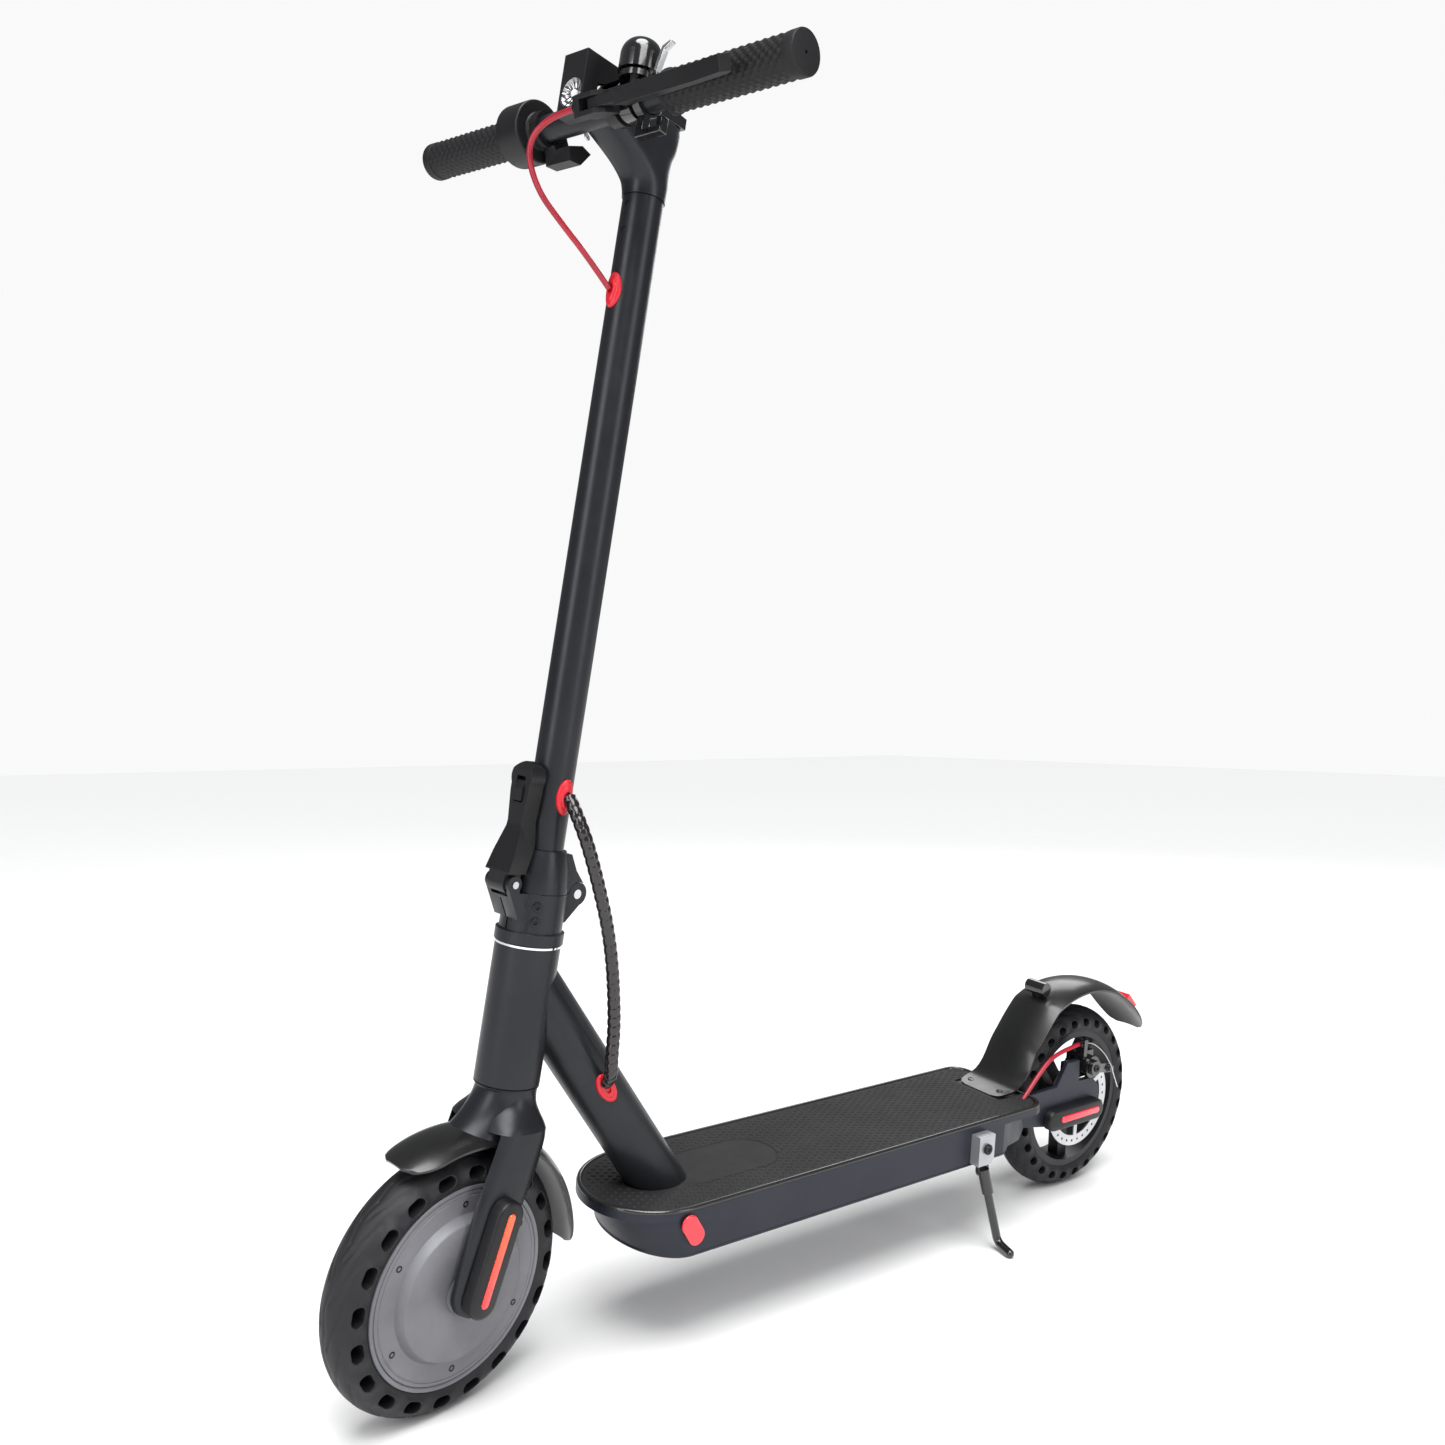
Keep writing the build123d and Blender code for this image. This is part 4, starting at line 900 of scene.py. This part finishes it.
def stem_head_mesh():
    """The neck: round on the stem, leaning forward into the clamp round the bar."""
    return oval_loft([(STEM_TOP_H, 0.0, 18.6, 18.6, 2.0), (909.0, 0.4, 18.9, 18.7, 2.1),
                      (917.0, 2.4, 20.6, 18.9, 2.3), (926.0, 9.0, 26.6, 19.0, 2.6),
                      (934.0, 17.5, 35.0, 19.1, 3.0),
                      (941.0, 25.0, 43.0, 19.2, 3.4), (950.0, 27.2, 47.6, 19.3, 3.8),
                      (960.0, 26.6, 48.4, 18.4, 4.0), (967.0, 20.0, 42.4, 16.6, 4.0),
                      (971.2, 17.4, 39.6, 14.4, 4.0)])


def stem_hole(h):
    """A dark screw sunk in the front of the stem."""
    return turned(screw(2.7, 0.5, depth=1.2, steps=24), facing((1, 0, 0), (STEM_R - 0.2, 0, h)))


def make_stem():
    add_piece("stem_head_look", *stem_head_mesh(), black_paint, STEER, "stem", ("stem_head",), sharp=60)
    add_piece("stem_screws", *joined(*map(stem_hole, STEM_SCREWS_H)), black_steel, STEER, "stem")
    bolt = turned(screw(3.2, 1.6, socket=0.5, depth=1.0), facing((0.2, -1, -0.35), (54.0, -19.2, 938.0)))
    add_piece("clamp_bolt", *bolt, steel, STEER, "stem")
    for look in (
            ("stem_tube", black_paint, 0.5), ("head_tube", black_paint, 0.8),
            ("handlebar", black_paint, 0.4), ("headlight", black_plastic, 2.0, 4),
            ("display", gloss_black, 1.6, 4), ("power_button", black_plastic, 0.7, 3),
            ("throttle_housing", black_plastic, 1.6, 4), ("throttle_paddle", black_plastic, 1.6, 3),
            ("brake_bracket", black_plastic, 1.4, 3), ("brake_lever", black_plastic, 2.2, 4),
            ("bell", gloss_black, 0.8, 3), ("bell_lever", steel, 0.8, 3),
            ("hanging_hook", gloss_black, 1.8, 3), ("fold_lever", black_plastic, 1.8, 4),
            ("fold_catch", black_plastic, 0.6), ("hinge_base", black_paint, 1.6, 3),
            ("hinge_head", black_paint, 2.2, 4),
    ):
        rounded(*look)


LAMP_H = 953.0


def lamp_rings(stations, flutes=0.0):
    """Rings about the lamp's axis, from (radius, depth) pairs, with radial flutes between its edges."""
    rings = []
    for radius, u in stations:
        depth = flutes if 4.0 < radius < 11.5 else 0.0
        ring = []
        for i in range(96):
            angle = 2 * math.pi * i / 96
            ring.append((u + depth * math.cos(12 * angle), radius * math.cos(angle),
                         radius * math.sin(angle) + LAMP_H))
        rings.append(ring)
    return loft(rings)


def make_lamp():
    """A fluted bowl in the lamp's mouth, with a bright dome at its middle."""
    bowl = lamp_rings([(12.1, 88.1), (12.1, 91.9), (11.6, 92.2), (11.2, 91.6), (9.6, 90.2), (7.6, 89.3),
                       (5.6, 88.8), (3.9, 88.6), (3.4, 88.5)], flutes=0.42)
    add_piece("headlight_bowl", *bowl, lamp_silver, STEER, "stem", ("headlight_lens",), sharp=30)
    dome = lamp_rings([(3.3, 88.4), (3.3, 89.4), (3.0, 90.2), (2.2, 90.9), (1.2, 91.3), (0.1, 91.4)])
    add_piece("headlight_dome", *dome, lens_clear, STEER, "stem", sharp=60)


def make_hinge_fittings():
    """Two black screws in the left side of the clamp, and the bright ring under its collar."""
    heads = []
    for h in (304.0, 291.5):
        spot = facing((0.57, 0.82, 0), (15.0, 21.6, h))
        heads.append(turned(screw(3.9, 2.2, socket=0.55, depth=1.8), spot))
    add_piece("clamp_screws", *joined(*heads), black_steel, STEER, "steerer")
    ring = [(27.72, 268.6), (28.1, 268.8), (28.1, 270.5), (27.72, 270.7)]
    add_piece("headset_ring", *lathe(ring + ring[:1], 96, axis="Z"), chrome, STEER, "frame")


make_grips()
make_stem()
make_lamp()
make_hinge_fittings()


# Cables

CABLE_R = 2.5
HARNESS_R = 5.8
WRAP_SHARE = 0.94
BARREL_REACH = 34.0
DOWN_TUBE_R = 25.0
DOWN_TUBE_FOOT = (596.0, 0, 138.0)
DOWN_TUBE_TILT = math.radians(90 - 54.6)
DOWN_BOOT_UP = 133.0
UPPER_BOOT_H = 820.0
LOWER_BOOT_H = 395.0
REAR_CABLE_POINTS = ((146, 45.5, 122), (92, 40, 168), (58, 37.5, 180), (20.2, 36, 182))


def tube_directions(path):
    """The direction of a path at each of its points."""
    last = len(path) - 1
    return [(path[min(i + 1, last)] - path[max(i - 1, 0)]).normalized() for i in range(last + 1)]


def route_path(points, fineness):
    """Points read from the smooth spline that a route's points control."""
    curve = bpy.data.curves.new("route", "CURVE")
    curve.dimensions = "3D"
    curve.resolution_u = fineness
    spline = curve.splines.new("NURBS")
    spline.points.add(len(points) - 1)
    for spot, point in zip(spline.points, points):
        spot.co = (*point, 1.0)
    spline.order_u = 3
    spline.use_endpoint_u = True
    route = bpy.data.objects.new("route", curve)
    mesh = bpy.data.meshes.new_from_object(route)
    path = [vertex.co.copy() for vertex in mesh.vertices]
    bpy.data.objects.remove(route)
    bpy.data.curves.remove(curve)
    bpy.data.meshes.remove(mesh)
    return path


def cable_mesh(path, radius, ribs=0.0, pitch=2.0, band=0.0, steps=20):
    """A round cord, with fine rings in its skin or a spiral band wound round it."""
    rings = []
    side = (path[1] - path[0]).orthogonal().normalized()
    run = 0.0
    for index, (spot, along) in enumerate(zip(path, tube_directions(path))):
        if index:
            run += (spot - path[index - 1]).length
        side = (side - along * side.dot(along)).normalized()
        other = along.cross(side)
        ring = []
        for i in range(steps):
            phase = (run / pitch - i / steps) % 1.0
            swell = math.sin(math.pi * phase / WRAP_SHARE) ** 0.4 if phase < WRAP_SHARE else 0.0
            r = radius - band * (1 - swell) - ribs * (0.5 + 0.5 * math.cos(2 * math.pi * run / pitch))
            angle = 2 * math.pi * i / steps
            ring.append(tuple(spot + side * (r * math.cos(angle)) + other * (r * math.sin(angle))))
        rings.append(ring)
    return loft(rings)


def front_cable_path():
    """From the brake lever's barrel down to the upper boot on the stem."""
    exit_u = BAR_U + BARREL_REACH * math.cos(BRAKE_TILT)
    exit_h = BAR_H - BARREL_REACH * math.sin(BRAKE_TILT)
    return [(exit_u, 14.3, exit_h), (exit_u + 1, -18, exit_h), (101, -36, 912), (90, -28, 880),
            (70, -14, 857), (46, -5, 838), (21.8, -1.2, 820.1)]


def make_cables():
    path = route_path(front_cable_path(), 40)
    add_piece("front_cable_look", *cable_mesh(path, CABLE_R, ribs=0.08), red_cable, STEER, "stem",
              ("front_brake_cable",), sharp=60)
    path = route_path(REAR_CABLE_POINTS, 50)
    add_piece("rear_cable_look", *cable_mesh(path, CABLE_R, ribs=0.08), red_cable, UPRIGHT, "frame",
              ("rear_brake_cable",), sharp=60)


HARNESS_POINTS = ((724, 8, 512), (724, 40, 486), (707, 43, 440), (688, 43, 378), (680, 43, 312),
                  (681, 43, 280), (677, 38, 258), (673.5, 20, 247))


def harness_path():
    """The bundle's path between the faces of its two grommets."""
    path = route_path(HARNESS_POINTS, 40)
    to_stem = STEER.inverted() @ UPRIGHT
    kept = [spot for spot in path if spot.z < 330 or (to_stem @ spot).y > STEM_R + 4.4]
    return [spot for spot in kept if spot.z > 330 or spot.y > 27.5]


def make_harness():
    """Two lengths of the bundle that meet in the middle."""
    path = harness_path()
    middle = len(path) // 2
    halves = (path[:middle + 1], path[middle:])
    upper, lower = (cable_mesh(half, HARNESS_R, pitch=8.0, band=0.9, steps=32) for half in halves)
    top = add_piece("harness_upper", *upper, wrap_black, UPRIGHT, None, ("wiring_harness",), sharp=60)
    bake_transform(top)
    low = add_piece("harness_lower", *lower, wrap_black, UPRIGHT, None, sharp=60)
    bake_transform(low)


def grommet_mesh(radius, long=30.0, wide=16.0):
    """An oval rubber boot on a tube, facing X, with a raised collar towards its cable."""
    rings = []
    levels = ((1.0, 0.2), (1.0, 1.6), (0.96, 2.4), (0.86, 3.0), (0.74, 3.1), (0.66, 3.0), (0.6, 3.8),
              (0.5, 4.0), (0.36, 4.0), (0.3, 3.6), (0.28, 2.0))
    for scale, rise in levels:
        ring = []
        for c, s in circle(48):
            y = wide / 2 * scale * c
            ring.append((math.sqrt(radius ** 2 - y ** 2) + rise, y, long / 2 * scale * s))
        rings.append(ring)
    return loft(rings)


def make_grommets():
    """Two boots on the stem, facing forward and left, and one on the left of the down tube."""
    to_left = Matrix.Rotation(math.pi / 2, 4, "Z")
    upper = turned(grommet_mesh(STEM_R), Matrix.Translation((0, 0, UPPER_BOOT_H)))
    lower = turned(grommet_mesh(STEM_R), Matrix.Translation((0, 0, LOWER_BOOT_H)) @ to_left)
    add_piece("stem_grommets_look", *joined(upper, lower), red_rubber, STEER, "stem", ("stem_grommets",),
              sharp=50)
    tube = (Matrix.Translation(DOWN_TUBE_FOOT) @ Matrix.Rotation(DOWN_TUBE_TILT, 4, "Y")
            @ Matrix.Translation((0, 0, DOWN_BOOT_UP)) @ to_left)
    add_piece("down_grommet_look", *turned(grommet_mesh(DOWN_TUBE_R), tube), red_rubber, UPRIGHT, "frame",
              ("down_tube_grommet",), sharp=50)


make_cables()
make_harness()
make_grommets()


# Rear end

REAR_FENDER_AXLE = (-6.0, 105.0)
REAR_FENDER_R = 144.0
REAR_FENDER_HALF = 33.0
FENDER_SPLIT = 62.0
FENDER_TIP = 151.0


def rear_fender_line():
    """The mudguard's centre line in X and Z with its outward normals, from its foot to its tip."""
    start = math.radians(FENDER_SPLIT)
    foot = [(154.0, 140.73), (127.0, 147.5), (113.0, 161.0), (97.0, 192.0)]
    arch = [around_axle(REAR_FENDER_AXLE, REAR_FENDER_R, 0, start + math.radians(turn)) for turn in (0, 12)]
    line = smooth_path([(x, 0, z) for x, z in foot] + arch, 8)[:-9]
    for step in range(41):
        angle = math.radians(FENDER_SPLIT + (FENDER_TIP - FENDER_SPLIT) * step / 40)
        line.append(Vector(around_axle(REAR_FENDER_AXLE, REAR_FENDER_R, 0, angle)))
    return line


def rear_fender_mesh(thick=2.3, across=24):
    """The rear mudguard: flat at its foot, bowed over the wheel and rounded at both ends."""
    line = rear_fender_line()
    rings = []
    total = len(line) - 1
    for index, (spot, along) in enumerate(zip(line, tube_directions(line))):
        out = Vector((along.z, 0, -along.x))
        foot = min(index / 7, 1.0)
        tail = min((total - index) / 9, 1.0)
        front_half = REAR_FENDER_HALF * (0.55 + 0.45 * math.sqrt(1 - (1 - foot) ** 2))
        back_half = REAR_FENDER_HALF * (0.45 + 0.55 * math.sqrt(1 - (1 - tail) ** 2))
        half = min(front_half, back_half)
        drop = 7.4 * min(max((index - 3) / 22, 0.02), 1.0)
        top, under = [], []
        for j in range(across + 1):
            t = 2 * j / across - 1
            fall = drop * (abs(t) * half / REAR_FENDER_HALF) ** 2.2
            lip = 0.5 if abs(t) > 0.9 else 0.0
            top.append(tuple(spot - out * (fall + 0.1 - lip * 0.1) + Vector((0, t * half, 0))))
            under.append(tuple(spot - out * (fall + thick) + Vector((0, t * half * 0.985, 0))))
        rings.append(top + under[::-1])
    return loft(rings)


def make_rear_fender():
    add_piece("rear_fender_look", *rear_fender_mesh(), fender_black, UPRIGHT, "frame", ("rear_fender",),
              sharp=60)
    head = screw(4.2, 1.1, socket=0.4)
    rivets = [turned(head, Matrix.Translation((140.0, y, 142.6))) for y in (-21.0, 21.0)]
    add_piece("fender_rivets", *joined(*rivets), gloss_black, UPRIGHT, "frame")
    rounded("fender_hook", gloss_black, 1.6, 4)
    rounded("tail_light", red_plastic, 2.0, 4)


def make_rear_covers():
    shell = capsule((-4.0, 105.0), (73.0, 105.0), 12.0, 42.1, 51.9, 2.4)
    add_piece("rear_covers_look", *mirrored(shell), black_plastic, UPRIGHT, "frame", ("rear_axle_covers",),
              sharp=45)
    strip = capsule((-3.0, 105.0), (60.0, 105.0), 3.8, 51.8, 52.9, 0.7)
    add_piece("rear_reflectors_look", *mirrored(strip), reflector_rear, UPRIGHT, "frame",
              ("rear_reflectors",), sharp=45)


def make_rear_wheel():
    for look in (
            ("rear_rim", wheel_black, 1.5, 3), ("brake_disc", steel, 0.3, 1),
            ("brake_caliper", gloss_black, 1.0, 3), ("caliper_arm", gloss_black, 0.8, 3),
    ):
        rounded(*look)
    wire = [(11.0, 36.0, 182.0), (-2.0, 40.0, 180.5), (-14.0, 47.5, 170.0), (-23.0, 53.0, 154.0),
            (-26.0, 54.0, 146.0), (-34.0, 56.0, 128.0)]
    path = smooth_path(wire, 12)
    inner = add_piece("brake_wire", *cable_mesh(path, 0.75, steps=10), steel, UPRIGHT, None, sharp=60)
    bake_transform(inner)
    boss = turned(screw(4.4, 1.6, socket=0.5, depth=1.2), facing((0, 1, 0), (3.0, 51.0, 155.0)))
    add_piece("caliper_bolt", *boss, black_steel, UPRIGHT, "caliper_arm")


def make_kickstand():
    for look in (
            ("kickstand_bracket", kick_block, 1.2, 3), ("kickstand_bolt", black_steel, 0.8, 3),
            ("kickstand_leg", kick_black, 1.0, 3),
    ):
        rounded(*look)


make_rear_fender()
make_rear_covers()
make_rear_wheel()
make_kickstand()


# Floor and light

FLOOR_HALF = 12.0

def make_floor():
    mesh = bpy.data.meshes.new("floor")
    corners = [(-FLOOR_HALF, -FLOOR_HALF), (FLOOR_HALF, -FLOOR_HALF), (FLOOR_HALF, FLOOR_HALF),
               (-FLOOR_HALF, FLOOR_HALF)]
    mesh.from_pydata([(x, y, 0) for x, y in corners], [], [(0, 1, 2, 3)])
    floor = bpy.data.objects.new("floor", mesh)
    bpy.context.scene.collection.objects.link(floor)
    mesh.materials.append(finish("floor_white", (0.86, 0.86, 0.86), 0.7, vary=0.01, bump=0.01))


def add_light(name, kind, place, direction, power):
    """A light that shines along a direction."""
    light = bpy.data.lights.new(name, kind)
    light.energy = power
    lamp = bpy.data.objects.new(name, light)
    bpy.context.scene.collection.objects.link(lamp)
    turn = direction.to_track_quat("-Z", "Y").to_matrix().to_4x4()
    lamp.matrix_world = Matrix.Translation(place) @ turn
    return light


def area_light(name, place, target, size, power):
    light = add_light(name, "AREA", place, Vector(target) - Vector(place), power)
    light.shape = "RECTANGLE"
    light.size, light.size_y = size


def make_world():
    """White to the camera, and a dimmer room to everything else."""
    world = bpy.data.worlds.new("studio")
    world.use_nodes = True
    nodes, links = world.node_tree.nodes, world.node_tree.links
    room = nodes["Background"]
    room.inputs["Color"].default_value = (0.95, 0.97, 1.0, 1)
    room.inputs["Strength"].default_value = 0.2
    backdrop = nodes.new("ShaderNodeBackground")
    backdrop.inputs["Color"].default_value = (1, 1, 1, 1)
    backdrop.inputs["Strength"].default_value = 0.95
    seen = nodes.new("ShaderNodeLightPath")
    choose = nodes.new("ShaderNodeMixShader")
    links.new(seen.outputs["Is Camera Ray"], choose.inputs["Fac"])
    links.new(room.outputs["Background"], choose.inputs[1])
    links.new(backdrop.outputs["Background"], choose.inputs[2])
    links.new(choose.outputs["Shader"], nodes["World Output"].inputs["Surface"])
    bpy.context.scene.world = world


make_floor()
make_world()
area_light("key", (1.1, 2.2, 2.9), (0.1, 0, 0.3), (1.6, 1.6), 56)
area_light("front", (3.0, 0.5, 1.5), (0.3, 0, 0.5), (0.9, 2.2), 36)
area_light("side", (-0.9, 3.0, 1.2), (-0.1, 0, 0.4), (1.0, 2.0), 26)
area_light("back", (-2.4, -1.6, 2.4), (0, 0, 0.4), (1.6, 1.6), 30)
sky = add_light("sky", "SUN", (0, 0, 0), -Vector((0.5, 0.9, 3.0)), 3.1)
sky.angle = math.radians(40.0)
bpy.context.scene.view_settings.view_transform = "Standard"
